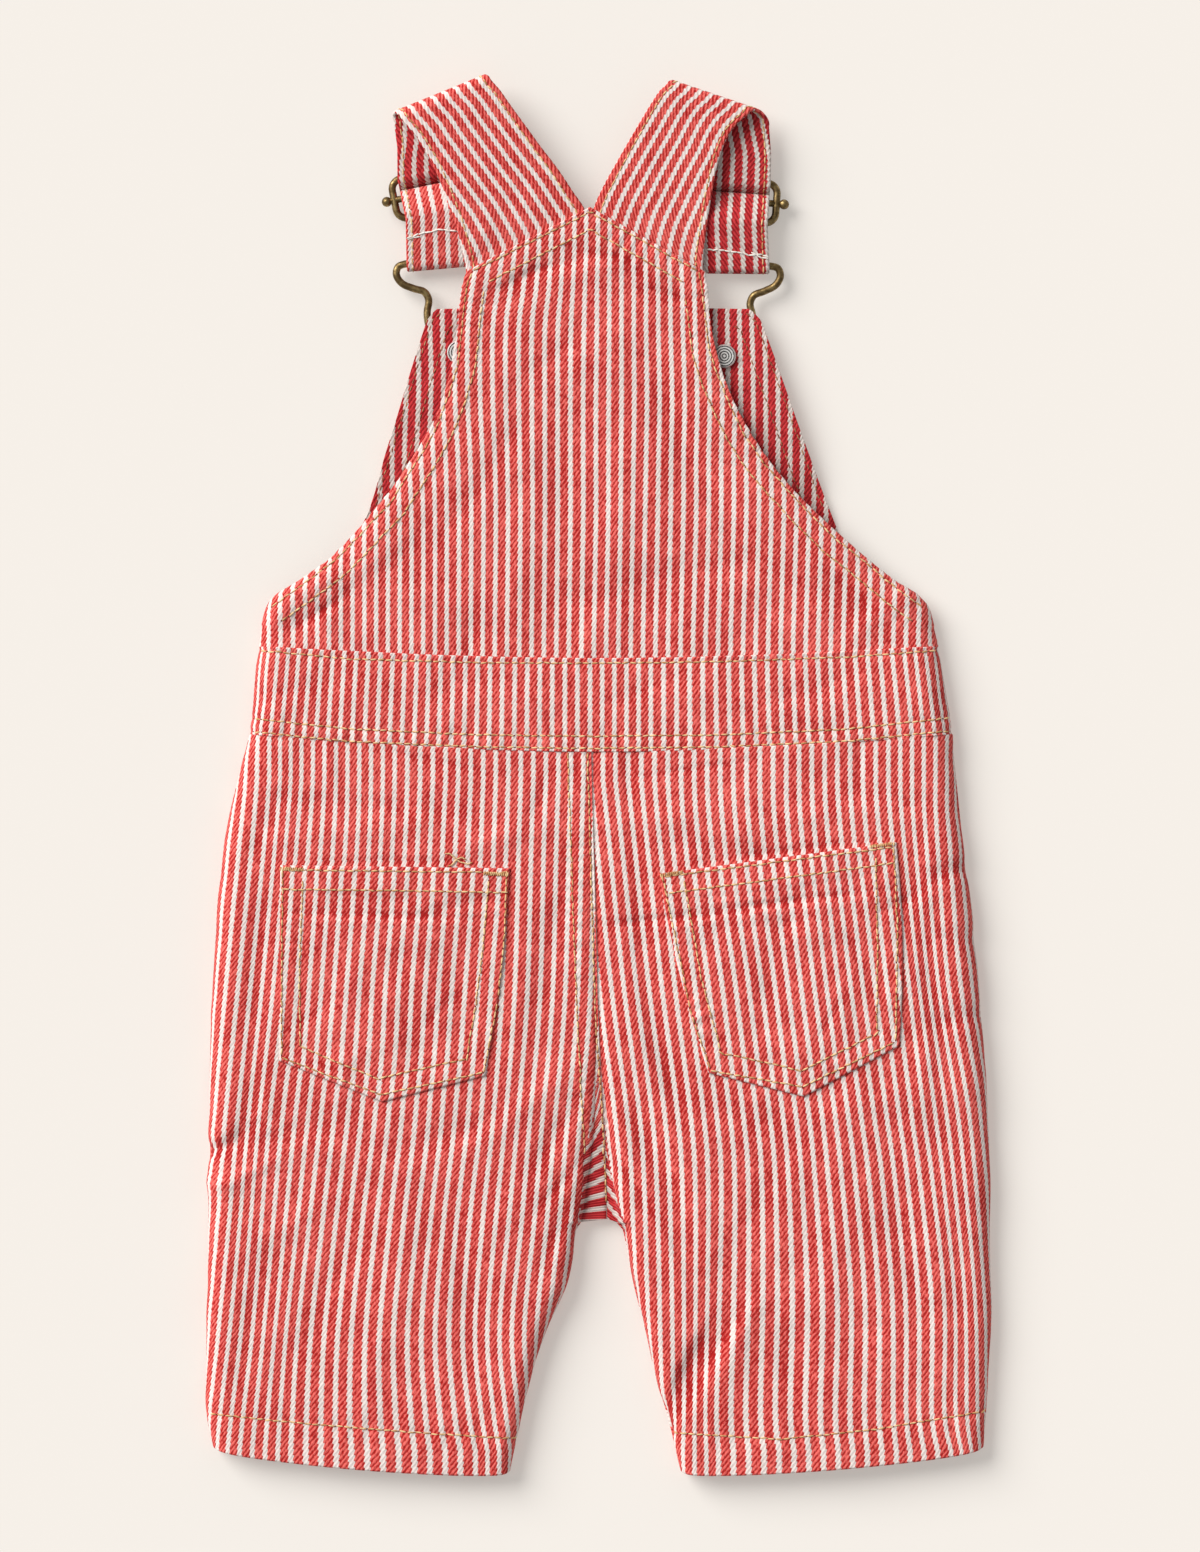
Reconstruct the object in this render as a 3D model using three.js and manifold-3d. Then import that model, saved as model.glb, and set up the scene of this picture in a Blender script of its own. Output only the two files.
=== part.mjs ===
// Toddler dungaree shorts laid flat on their front, so the back faces up.
// Millimetres. X runs to the wearer's right, Y toward the shoulders, Z up, and the floor is z = 0.
import * as THREE from "three";
import Module from "manifold-3d";

const manifold = await Module();
manifold.setup();

// Cloth walls
const CLOTH = 1.2;
const BAND = 2.0;
const STRAP = 1.4;
const GAP = 0.34;
const HALF_GAP = GAP / 2;

// Heights of the two side-seam edges, and how far the cloth rolls in from the side
const SIDE_BACK = 5.0;
const SIDE_FRONT = SIDE_BACK - GAP;
const ROLL_BACK = 9;
const ROLL_FRONT = 6;

// Metal wire
const WIRE = 1.4;
const ROD_CLEARANCE = 0.3;

const mix = (a, b, k) => a + (b - a) * k;

const table = (names, rows) =>
  rows.map((row) => Object.fromEntries(names.split(" ").map((name, i) => [name, row[i]])));

// Seat, from the waistband down to the crotch point. seam is the seat seam's X, valley its height,
// and flat the width of the low strip beside it between the legs.
const SEAT = table("y yi bow left right seam crown valley flatL flatR roll", [
  [15.26, 8.76, -1.35, -132.7, 134.1, -2.8, 11.0, 10.6, 1.0, 1.0, 12],
  [-20.5, -21.5, -0.2, -141.7, 137.9, -2.1, 11.8, 11.4, 1.0, 1.0, 12],
  [-58.5, -58.5, 0, -145.5, 142.5, -1.0, 12.2, 11.6, 1.0, 1.0, 12],
  [-96.5, -96.5, 0, -147.8, 145.9, 0.0, 12.0, 10.8, 1.5, 1.0, 11],
  [-134.5, -134.5, 0, -148.2, 148.2, 2.0, 11.6, 7.5, 4.5, 1.5, 9],
  [-158.0, -158.0, 0, -148.4, 148.6, 2.8, 11.4, 5.4, 7.5, 2.6, 7],
  [-168.5, -168.5, 0, -148.6, 148.6, 3.0, 11.3, 4.6, 9.5, 3.6, 6],
]);

// Legs, from the crotch to the hem. inL and inR are the inseams.
const LEGS = table("y yi bow left right inL inR crown valley roll wall", [
  [-169.6, -169.6, 0, -148.6, 148.6, -6.8, 6.5, 11.3, 4.6, 6, 1.2],
  [-172.5, -172.5, 0, -148.6, 148.6, -8.7, 9.1, 11.3, 4.8, 6, 1.2],
  [-191.5, -191.5, 0, -148.6, 149.0, -11.8, 12.9, 11.1, 5.0, 7, 1.2],
  [-210.5, -210.5, 0, -149.3, 149.0, -19.8, 17.5, 11.0, 5.0, 7, 1.2],
  [-228.0, -231.0, -0.6, -149.3, 147.8, -27.0, 22.3, 10.8, 5.0, 7, 1.2],
  [-242.0, -249.0, -2.5, -149.0, 147.2, -31.0, 27.4, 10.6, 5.0, 6, 1.9],
  [-254.6, -263.8, -4.3, -146.8, 146.0, -33.9, 31.3, 10.2, 5.0, 6, 2.0],
]);

// Back bib, from its pointed top to the waistband. edge is the height of its free side.
const BACK_BIB = table("y bow left right edge crown roll peak lean", [
  [191.5, 0, -50.2, 39.9, 12.0, 12.8, 8, 24.3, 1.75],
  [182.0, 0, -52.6, 41.4, 12.0, 12.8, 8, 21.0, 1.4],
  [166.1, 0, -54.3, 43.4, 12.0, 12.6, 10, 15.0, 0.9],
  [150.0, 0, -57.2, 47.9, 11.8, 12.4, 12, 9.0, 0.5],
  [133.8, 0, -63.1, 55.2, 11.0, 12.0, 15, 4.0, 0.2],
  [115.1, 0, -74.3, 68.2, 9.6, 11.6, 18, 0, 0],
  [99.2, 0, -86.3, 83.0, 8.6, 11.3, 20, 0, 0],
  [84.0, 0, -100.7, 100.3, 7.6, 11.0, 20, 0, 0],
  [74.5, 0, -113.2, 112.0, 6.4, 10.8, 14, 0, 0],
  [65.7, -0.8, -125.4, 123.9, 5.0, 10.7, 9, 0, 0],
  [49.74, -4.6, -129.3, 128.9, 5.0, 10.5, 9, 0, 0],
]);

// Front bib, its outer face down. The buttons and hooks lift its top off the floor.
const FRONT_BIB = table("y bow left right edge crown roll", [
  [177.4, 0.6, -61.5, 57.0, 6.8, 6.8, 4],
  [173.6, 0.2, -65.0, 61.2, 6.7, 6.6, 4],
  [163.8, 0, -68.4, 65.0, 6.6, 6.6, 4],
  [149.0, 0, -73.0, 70.3, 6.6, 6.6, 4],
  [135.3, 0, -77.1, 75.1, 6.0, 6.0, 4],
  [120.8, 0, -81.7, 80.4, 4.2, 4.2, 4],
  [103.0, 0, -87.0, 87.2, 1.7, 1.6, 4],
  [88.0, 0, -94.6, 94.0, 0.6, 0.2, 5],
  [76.4, 0, -106.0, 105.0, 1.2, 0, 7],
  [68.8, 0, -117.4, 116.2, 3.0, 0, 7],
  [64.6, 0, -125.4, 123.9, SIDE_FRONT, 0, ROLL_FRONT],
  [49.74, -4.6, -129.3, 128.9, SIDE_FRONT, 0, ROLL_FRONT],
]);

// Waistband, back and front alike but for the heights
const WAIST = table("y bow left right crown", [
  [49.4, -4.6, -129.4, 129.0, 11.2],
  [33.0, -5.5, -131.2, 131.9, 11.6],
  [15.6, -6.5, -132.7, 134.1, 11.8],
]);

// Patch pockets: corner points, the point at the bottom, and how far the sides bow out
const POCKETS = table("name topX topY farX farY farLowX farLowY lowX lowY point bowNear bowFar", [
  ["pocket_left", -120.8, -33.8, -33.8, -35.0, -43.1, -113.6, -121.2, -107.9, 12.8, 0, 1.4],
  ["pocket_right", 22.6, -37.1, 112.9, -25.1, 114.0, -102.2, 41.4, -112.5, 14.2, -1.5, 1.7],
]);

// The few folds deep enough for the solids: place, direction in degrees, length, width and height
const FOLDS = table("x y turn long wide high", [
  [-141, -141, 12, 14, 3.0, -0.8],
  [-140, -155, -8, 13, 3.0, 0.5],
  [134, -36, 10, 15, 3.5, -0.8],
  [137, -62, -6, 14, 3.5, -0.7],
  [137, -92, 8, 16, 3.5, -0.7],
  [33, -226, 62, 18, 3.0, -1.0],
  [-98, 62, 50, 14, 3.0, -0.8],
]);

function foldHeight(x, y) {
  let sum = 0;
  for (const fold of FOLDS) {
    const turn = THREE.MathUtils.degToRad(fold.turn);
    const along = (x - fold.x) * Math.cos(turn) + (y - fold.y) * Math.sin(turn);
    const across = -(x - fold.x) * Math.sin(turn) + (y - fold.y) * Math.cos(turn);
    sum += fold.high * Math.exp(-((along / fold.long) ** 2) - (across / fold.wide) ** 2);
  }
  return sum;
}

// One cross section: rolls up from its first edge, runs over the crown, rolls down to its last edge.
// column counts along it; zones says how many columns each stretch has.
function sectionPoint(row, column, zones) {
  const [rollIn, top, rollOut, strip] = zones;
  const way = Math.sign(row.lastX - row.firstX);
  const flat = row.flat ?? 0;
  const drop = row.drop ?? 0;
  const endX = row.lastX - way * flat;
  const endZ = row.lastZ + drop;
  let x;
  let z;
  if (column <= rollIn) {
    const turn = (column / rollIn) * (Math.PI / 2);
    x = row.firstX + way * row.firstRoll * (1 - Math.cos(turn));
    z = mix(row.firstZ, row.crown, Math.sin(turn));
  } else if (column <= rollIn + top) {
    const k = (column - rollIn) / top;
    x = mix(row.firstX + way * row.firstRoll, endX - way * row.lastRoll, k);
    x += (row.lean ?? 0) * (1 - Math.abs(2 * k - 1));
    z = row.crown + (row.dome ?? 0) * Math.sin(Math.PI * k);
  } else if (column <= rollIn + top + rollOut || !strip) {
    const turn = (1 - (column - rollIn - top) / rollOut) * (Math.PI / 2);
    x = endX - way * row.lastRoll * (1 - Math.cos(turn));
    z = mix(endZ, row.crown, Math.sin(turn));
  } else {
    const k = (column - rollIn - top - rollOut) / strip;
    x = mix(endX, row.lastX, k);
    z = mix(endZ, row.lastZ, k);
  }
  const across = (x - row.firstX) / (row.lastX - row.firstX);
  let y = mix(row.y, row.yi ?? row.y, across);
  y += row.bow * Math.sin(Math.PI * THREE.MathUtils.clamp(across, 0, 1)) ** (row.power ?? 1);
  if (row.peak) {
    const peakX = (row.firstX + row.lastX) / 2 + row.lean;
    const side = x < peakX ? peakX - Math.min(row.firstX, row.lastX) : Math.max(row.firstX, row.lastX) - peakX;
    y += row.peak * (1 - Math.abs(x - peakX) / side);
  }
  if (row.folded) {
    const fromEdge = Math.min(Math.abs(x - row.firstX), Math.abs(x - row.lastX));
    z += foldHeight(x, y) * Math.min(1, fromEdge / 4);
  }
  return new THREE.Vector3(x, y, z);
}

// Rows between the table's rows, each number eased through its neighbours
function smoothRows(rows, steps) {
  const out = [];
  const at = (i) => rows[THREE.MathUtils.clamp(i, 0, rows.length - 1)];
  for (let i = 0; i < rows.length - 1; i += 1) {
    for (let s = 0; s < steps; s += 1) {
      const k = s / steps;
      const row = {};
      for (const key of Object.keys(rows[i])) {
        const [a, b, c, d] = [at(i - 1)[key], at(i)[key], at(i + 1)[key], at(i + 2)[key]];
        if (typeof b !== "number") {
          row[key] = b;
          continue;
        }
        const slopeB = (c - a) / 2;
        const slopeC = (d - b) / 2;
        row[key] =
          (2 * k ** 3 - 3 * k ** 2 + 1) * b +
          (k ** 3 - 2 * k ** 2 + k) * slopeB +
          (3 * k ** 2 - 2 * k ** 3) * c +
          (k ** 3 - k ** 2) * slopeC;
      }
      out.push(row);
    }
  }
  out.push(rows[rows.length - 1]);
  return out;
}

// Closes an outer and an inner grid of points into one wall
function closedWall(outer, inner) {
  const rows = outer.length;
  const columns = outer[0].length;
  const points = [...outer.flat(), ...inner.flat()];
  const start = rows * columns;
  const id = (layer, j, i) => layer * start + j * columns + i;
  const faces = [];
  const quad = (a, b, c, d) => faces.push(a, b, c, a, c, d);
  for (let j = 0; j < rows - 1; j += 1) {
    for (let i = 0; i < columns - 1; i += 1) {
      quad(id(0, j, i), id(0, j, i + 1), id(0, j + 1, i + 1), id(0, j + 1, i));
      quad(id(1, j, i), id(1, j + 1, i), id(1, j + 1, i + 1), id(1, j, i + 1));
    }
  }
  for (let i = 0; i < columns - 1; i += 1) {
    quad(id(0, 0, i + 1), id(0, 0, i), id(1, 0, i), id(1, 0, i + 1));
    quad(id(0, rows - 1, i), id(0, rows - 1, i + 1), id(1, rows - 1, i + 1), id(1, rows - 1, i));
  }
  for (let j = 0; j < rows - 1; j += 1) {
    quad(id(0, j, 0), id(0, j + 1, 0), id(1, j + 1, 0), id(1, j, 0));
    quad(id(0, j + 1, columns - 1), id(0, j, columns - 1), id(1, j, columns - 1), id(1, j + 1, columns - 1));
  }
  let volume = 0;
  for (let f = 0; f < faces.length; f += 3) {
    const [a, b, c] = [points[faces[f]], points[faces[f + 1]], points[faces[f + 2]]];
    volume += a.dot(new THREE.Vector3().crossVectors(b, c));
  }
  if (volume < 0) {
    for (let f = 0; f < faces.length; f += 3) {
      [faces[f + 1], faces[f + 2]] = [faces[f + 2], faces[f + 1]];
    }
  }
  const geometry = new THREE.BufferGeometry();
  const flat = points.flatMap((p) => [p.x, p.y, p.z]);
  geometry.setAttribute("position", new THREE.Float32BufferAttribute(flat, 3));
  geometry.setIndex(faces);
  return geometry;
}

// A cloth panel: a wall through its rows. face is 1 where the outside looks up, -1 where it looks down.
function panelGrids(rows, zones, face) {
  const count = zones.reduce((a, b) => a + b, 0);
  const outer = [];
  const inner = [];
  for (const row of rows) {
    const way = Math.sign(row.lastX - row.firstX) * face;
    const out = [];
    const ins = [];
    for (let i = 0; i <= count; i += 1) {
      const point = sectionPoint(row, i, zones);
      const before = sectionPoint(row, Math.max(0, i - 0.01), zones);
      const after = sectionPoint(row, Math.min(count, i + 0.01), zones);
      const [dx, dz] = [after.x - before.x, after.z - before.z];
      const length = Math.hypot(dx, dz);
      const wall = row.wall ?? CLOTH;
      out.push(point);
      ins.push(new THREE.Vector3(point.x + (way * dz * wall) / length, point.y, point.z - (way * dx * wall) / length));
    }
    outer.push(out);
    inner.push(ins);
  }
  return { outer, inner };
}

function panel(rows, zones, face) {
  const { outer, inner } = panelGrids(rows, zones, face);
  return closedWall(outer, inner);
}

// Rows of one back or front panel, left or right
function bodyRows(side, isBack) {
  const left = side === "left";
  const seat = SEAT.map((row, i) => ({
    y: row.y,
    yi: row.yi,
    bow: row.bow,
    firstX: left ? row.left : row.right,
    lastX: row.seam + (left ? -HALF_GAP : HALF_GAP),
    firstZ: isBack ? SIDE_BACK : SIDE_FRONT,
    lastZ: isBack ? row.valley : [0, 0, 0, 0, 0, 0.6, 1.8][i],
    firstRoll: isBack ? ROLL_BACK : ROLL_FRONT,
    lastRoll: row.roll,
    crown: isBack ? row.crown : 0,
    dome: isBack ? 0.6 : 0,
    flat: left ? row.flatL : row.flatR,
    drop: 0,
    wall: CLOTH,
    power: 1,
  }));
  const legs = LEGS.map((row) => ({
    y: row.y,
    yi: row.yi,
    bow: row.bow,
    firstX: left ? row.left : row.right,
    lastX: left ? row.inL : row.inR,
    firstZ: isBack ? SIDE_BACK : SIDE_FRONT,
    lastZ: isBack ? row.valley : row.valley - GAP,
    firstRoll: isBack ? ROLL_BACK : ROLL_FRONT,
    lastRoll: isBack ? row.roll : row.roll - 1,
    crown: isBack ? row.crown : 0,
    dome: isBack ? 0.6 : 0,
    flat: 0,
    drop: isBack ? 0.5 : -0.5,
    wall: row.wall,
    power: 0.35,
  }));
  const steps = isBack ? 2 : 1;
  const rows = [...smoothRows(seat, steps), ...smoothRows(legs, steps)];
  return rows.map((row) => ({ ...row, folded: isBack }));
}

const BACK_ZONES = [4, 9, 4, 1];
const FRONT_ZONES = [4, 3, 4, 1];

const backRows = { left: bodyRows("left", true), right: bodyRows("right", true) };
const frontRows = { left: bodyRows("left", false), right: bodyRows("right", false) };

// Height of a back panel's outside above any point of its flat stretch
function backHeight(side, x, y) {
  const rows = backRows[side];
  let j = 0;
  while (j < rows.length - 2 && rows[j + 1].y > y) j += 1;
  const k = THREE.MathUtils.clamp((rows[j].y - y) / (rows[j].y - rows[j + 1].y), 0, 1);
  const rise = (row) => {
    const [rollIn, top] = BACK_ZONES;
    const way = Math.sign(row.lastX - row.firstX);
    const from = row.firstX + way * row.firstRoll;
    const to = row.lastX - way * (row.flat + row.lastRoll);
    const across = THREE.MathUtils.clamp((x - from) / (to - from), 0, 1);
    return sectionPoint({ ...row, folded: false }, rollIn + top * across, BACK_ZONES).z;
  };
  return mix(rise(rows[j]), rise(rows[j + 1]), k) + foldHeight(x, y);
}

// A patch pocket, laid over the panel's own points and moved out, slack in the middle
function pocket(row) {
  const [across, down] = [10, 10];
  const side = row.name.endsWith("left") ? "left" : "right";
  const outer = [];
  const inner = [];
  for (let j = 0; j <= down; j += 1) {
    const v = j / down;
    const out = [];
    const ins = [];
    for (let i = 0; i <= across; i += 1) {
      const u = i / across;
      const bulge = Math.sin(Math.PI * v) * mix(row.bowNear, row.bowFar, u);
      const x = mix(mix(row.topX, row.farX, u), mix(row.lowX, row.farLowX, u), v) + bulge;
      const top = mix(row.topY, row.farY, u);
      const low = mix(row.lowY, row.farLowY, u) - row.point * (1 - Math.abs(2 * u - 1));
      const y = mix(top, low, v);
      const slack = 1.0 * Math.sin(Math.PI * u) * Math.sin(Math.PI * Math.min(1, 0.25 + 0.75 * v));
      const z = backHeight(side, x, y) + GAP + slack;
      const wall = v < 0.15 ? 1.7 : CLOTH;
      ins.push(new THREE.Vector3(x, y, z));
      out.push(new THREE.Vector3(x, y, z + wall));
    }
    outer.push(out);
    inner.push(ins);
  }
  return closedWall(outer, inner);
}

// Pieces that run from one side seam or free edge to the other
function wideRows(rows, steps, fill) {
  return smoothRows(rows, steps).map((row) => ({ ...row, firstX: row.left, lastX: row.right, ...fill(row) }));
}

const edgeFill = (row) => ({
  firstZ: row.edge,
  lastZ: row.edge,
  firstRoll: row.roll,
  lastRoll: row.roll,
});

const backBibRows = wideRows(BACK_BIB, 2, (row) => ({ ...edgeFill(row), peak: row.peak > 0.5 ? row.peak : 0 }));
const frontBibRows = wideRows(FRONT_BIB, 1, edgeFill);
const waistBackRows = wideRows(WAIST, 1, () => ({
  firstZ: SIDE_BACK,
  lastZ: SIDE_BACK,
  firstRoll: ROLL_BACK,
  lastRoll: ROLL_BACK,
  wall: BAND,
}));
const waistFrontRows = wideRows(WAIST, 1, () => ({
  firstZ: SIDE_FRONT,
  lastZ: SIDE_FRONT,
  firstRoll: ROLL_FRONT,
  lastRoll: ROLL_FRONT,
  crown: 0,
  wall: BAND,
}));

// Manifold in and out, for the few joins and cuts
function toSolid(geometry) {
  const position = geometry.getAttribute("position");
  const found = new Map();
  const corners = [];
  const vertices = [];
  const index = geometry.index ? geometry.index.array : [...Array(position.count).keys()];
  for (const i of index) {
    const spot = [position.getX(i), position.getY(i), position.getZ(i)];
    const key = spot.map((value) => Math.round(value * 1e3)).join(",");
    if (!found.has(key)) {
      found.set(key, vertices.length / 3);
      vertices.push(...spot);
    }
    corners.push(found.get(key));
  }
  const kept = [];
  for (let f = 0; f < corners.length; f += 3) {
    const [a, b, c] = corners.slice(f, f + 3);
    if (a !== b && b !== c && a !== c) kept.push(a, b, c);
  }
  const mesh = new manifold.Mesh({
    numProp: 3,
    vertProperties: new Float32Array(vertices),
    triVerts: new Uint32Array(kept),
  });
  return new manifold.Manifold(mesh);
}

function toGeometry(solid) {
  const mesh = solid.getMesh();
  const geometry = new THREE.BufferGeometry();
  const flat = [];
  for (let i = 0; i < mesh.numVert; i += 1) {
    flat.push(...mesh.vertProperties.slice(i * mesh.numProp, i * mesh.numProp + 3));
  }
  geometry.setAttribute("position", new THREE.Float32BufferAttribute(flat, 3));
  geometry.setIndex([...mesh.triVerts]);
  return geometry;
}

// Buckles. Each stands in its own plane: across runs to the right along the bar, down toward the button.
const WIRE_Z = 4.85;
const HOOK_Z = 4.8;
const RAIL_OFFSET = 7.6;
const FRAME_HALF = 20.4;
const KNOB_AT = 23.3;
const STRAP_HALF = 17.6;
const HOOK_SHANK = 35.0;

const BUCKLES = table("name barX barY barTurn hookX hookY hookTurn buttonX buttonY", [
  ["left", -57.8, 222.9, 11.5, -55.6, 196.2, 5.0, -53.2, 160.9],
  ["right", 47.1, 219.0, -4.2, 47.2, 194.0, -0.6, 47.6, 159.4],
]);

function frameAt(x, y, turn) {
  const angle = THREE.MathUtils.degToRad(turn);
  return (across, down, z) =>
    new THREE.Vector3(
      x + across * Math.cos(angle) + down * Math.sin(angle),
      y + across * Math.sin(angle) - down * Math.cos(angle),
      z,
    );
}

// Path of a band pulled round rods, in the plane of down and z. turn is 1 for anticlockwise, -1 for clockwise.
function bandPath(stops, arcSteps) {
  const points = [];
  const joins = [];
  for (let i = 0; i < stops.length - 1; i += 1) {
    const [a, b] = [stops[i], stops[i + 1]];
    const [dx, dz] = [b.down - a.down, b.z - a.z];
    const far = Math.hypot(dx, dz);
    const lean = Math.asin((a.turn * a.radius - b.turn * b.radius) / far);
    const angle = Math.atan2(dz, dx) + lean;
    const side = angle - Math.PI / 2;
    joins.push({ angle, leave: side, arrive: side });
  }
  for (let i = 0; i < stops.length; i += 1) {
    const stop = stops[i];
    if (!stop.radius) {
      points.push([stop.down, stop.z]);
      continue;
    }
    const base = stop.turn > 0 ? 0 : Math.PI;
    const from = joins[i - 1].arrive + base;
    let to = joins[i].leave + base;
    if (stop.turn > 0) while (to < from - 1e-6) to += 2 * Math.PI;
    else while (to > from + 1e-6) to -= 2 * Math.PI;
    const steps = Math.max(2, Math.ceil(Math.abs(to - from) / arcSteps));
    for (let s = 0; s <= steps; s += 1) {
      const angle = mix(from, to, s / steps);
      points.push([stop.down + stop.radius * Math.cos(angle), stop.z + stop.radius * Math.sin(angle)]);
    }
  }
  return points;
}

// Upper run of each strap, from under the bib's point to the fold: both edges and their heights
const UPPER_LEFT = table("outX outY outZ inX inY inZ", [
  [-50.2, 184.7, 9.7, -4.2, 208.2, 10.6],
  [-50.6, 193.4, 10.0, -5.4, 215.0, 10.9],
  [-52.0, 200.3, 11.3, -9.7, 221.5, 11.6],
  [-54.4, 209.4, 12.4, -15.6, 230.3, 12.4],
  [-57.2, 217.7, 13.0, -22.0, 238.6, 13.0],
  [-60.6, 226.3, 13.5, -28.0, 246.8, 13.5],
  [-64.6, 234.8, 14.0, -33.7, 254.6, 14.0],
  [-69.6, 243.0, 14.4, -37.8, 260.4, 14.4],
]);
const UPPER_RIGHT = table("outX outY outZ inX inY inZ", [
  [39.6, 184.7, 9.7, -2.8, 208.2, 10.6],
  [39.5, 194.6, 10.0, -2.0, 215.4, 10.9],
  [40.3, 203.3, 11.3, 1.6, 223.6, 11.6],
  [41.6, 213.2, 12.4, 6.6, 232.6, 12.4],
  [43.2, 223.1, 13.0, 11.4, 240.9, 13.0],
  [45.4, 233.4, 13.5, 16.4, 249.4, 13.5],
  [48.6, 242.0, 14.0, 20.6, 256.2, 14.0],
  [52.6, 247.4, 14.4, 23.4, 260.2, 14.4],
]);

// The fold over the shoulder: edge points where it starts on top and ends below, and the run under it
const FOLD = {
  left: {
    top: [-74.6, 248.6, -40.8, 263.7],
    low: [-78.0, 248.9, -42.8, 261.7],
    under: [-76.6, 238.8, -42.4, 247.8],
  },
  right: {
    top: [56.8, 251.0, 25.4, 261.8],
    low: [64.6, 246.6, 29.8, 258.0],
    under: [65.4, 235.6, 30.8, 242.0],
  },
};
const FOLD_RADIUS = 3.1;
const FOLD_Z = 11.4;

function strapStations(name) {
  const buckle = BUCKLES.find((row) => row.name === name);
  const upper = name === "left" ? UPPER_LEFT : UPPER_RIGHT;
  const fold = FOLD[name];
  const stations = upper.map((row) => [
    new THREE.Vector3(row.outX, row.outY, row.outZ),
    new THREE.Vector3(row.inX, row.inY, row.inZ),
  ]);
  const crest = new THREE.Vector2(fold.top[2] - fold.top[0], fold.top[3] - fold.top[1]).normalize();
  const away = name === "left" ? new THREE.Vector2(-crest.y, crest.x) : new THREE.Vector2(crest.y, -crest.x);
  const turns = 8;
  for (let s = 0; s <= turns; s += 1) {
    const angle = mix(Math.PI / 2, -Math.PI / 2, s / turns);
    const k = (1 - Math.sin(angle)) / 2;
    const out = FOLD_RADIUS * Math.cos(angle);
    const z = FOLD_Z + FOLD_RADIUS * Math.sin(angle);
    const edge = (from) =>
      new THREE.Vector3(
        mix(fold.top[from], fold.low[from], k) + away.x * out,
        mix(fold.top[from + 1], fold.low[from + 1], k) + away.y * out,
        z,
      );
    stations.push([edge(0), edge(2)]);
  }
  stations.push([
    new THREE.Vector3(fold.under[0], fold.under[1], 7.9),
    new THREE.Vector3(fold.under[2], fold.under[3], 7.9),
  ]);
  const reach = Math.hypot(buckle.hookX - buckle.barX, buckle.hookY - buckle.barY);
  const ply = STRAP + ROD_CLEARANCE;
  const round = WIRE + ROD_CLEARANCE + STRAP / 2;
  const stops = [
    { down: -RAIL_OFFSET, z: WIRE_Z, radius: round, turn: -1 },
    { down: 0, z: WIRE_Z, radius: round + ply, turn: 1 },
    { down: RAIL_OFFSET, z: WIRE_Z, radius: round, turn: -1 },
    { down: reach, z: HOOK_Z, radius: round, turn: 1 },
    { down: RAIL_OFFSET, z: WIRE_Z, radius: round + 2 * ply, turn: 1 },
    { down: 0, z: WIRE_Z, radius: round, turn: 1 },
    { down: RAIL_OFFSET, z: WIRE_Z, radius: round + ply, turn: -1 },
    { down: reach - 7, z: 6.3, radius: 0, turn: 1 },
  ];
  const start = { down: -RAIL_OFFSET - 8, z: 7.6, radius: 0, turn: 1 };
  const path = bandPath([start, ...stops], 0.42).slice(1);
  const slider = frameAt(buckle.barX, buckle.barY, buckle.barTurn);
  const hook = frameAt(buckle.hookX, buckle.hookY, buckle.hookTurn);
  const outward = name === "left" ? -1 : 1;
  for (const [down, z] of path) {
    const w = THREE.MathUtils.smoothstep(down, RAIL_OFFSET + 2.5, reach - 3.5);
    const edge = (across) =>
      slider(across, down, z).lerp(hook(across, down - reach, z), w);
    stations.push([edge(outward * STRAP_HALF), edge(-outward * STRAP_HALF)]);
  }
  return stations;
}

function strap(name) {
  const stations = strapStations(name);
  const across = 3;
  const middle = (s) => s[0].clone().add(s[1]).multiplyScalar(0.5);
  const outer = [];
  const inner = [];
  stations.forEach((station, j) => {
    const before = middle(stations[Math.max(0, j - 1)]);
    const here = middle(station);
    const after = middle(stations[Math.min(stations.length - 1, j + 1)]);
    const side = station[1].clone().sub(station[0]).normalize();
    const along = after.clone().sub(here).normalize().add(here.clone().sub(before).normalize());
    const up = new THREE.Vector3().crossVectors(side, along.normalize()).normalize();
    const bend = j && j < stations.length - 1 ? after.clone().sub(here).angleTo(here.clone().sub(before)) : 0;
    const half = STRAP / 2 / Math.cos(Math.min(bend / 2, 0.4));
    const out = [];
    const ins = [];
    for (let i = 0; i <= across; i += 1) {
      const point = station[0].clone().lerp(station[1], i / across);
      out.push(point.clone().addScaledVector(up, half));
      ins.push(point.clone().addScaledVector(up, -half));
    }
    outer.push(out);
    inner.push(ins);
  });
  return closedWall(outer, inner);
}

// Wire bent along a closed line, 8 sides round
function closedWire(points, segments) {
  const curve = new THREE.CatmullRomCurve3(points, true, "centripetal");
  return new THREE.TubeGeometry(curve, segments, WIRE, 8, true);
}

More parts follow.
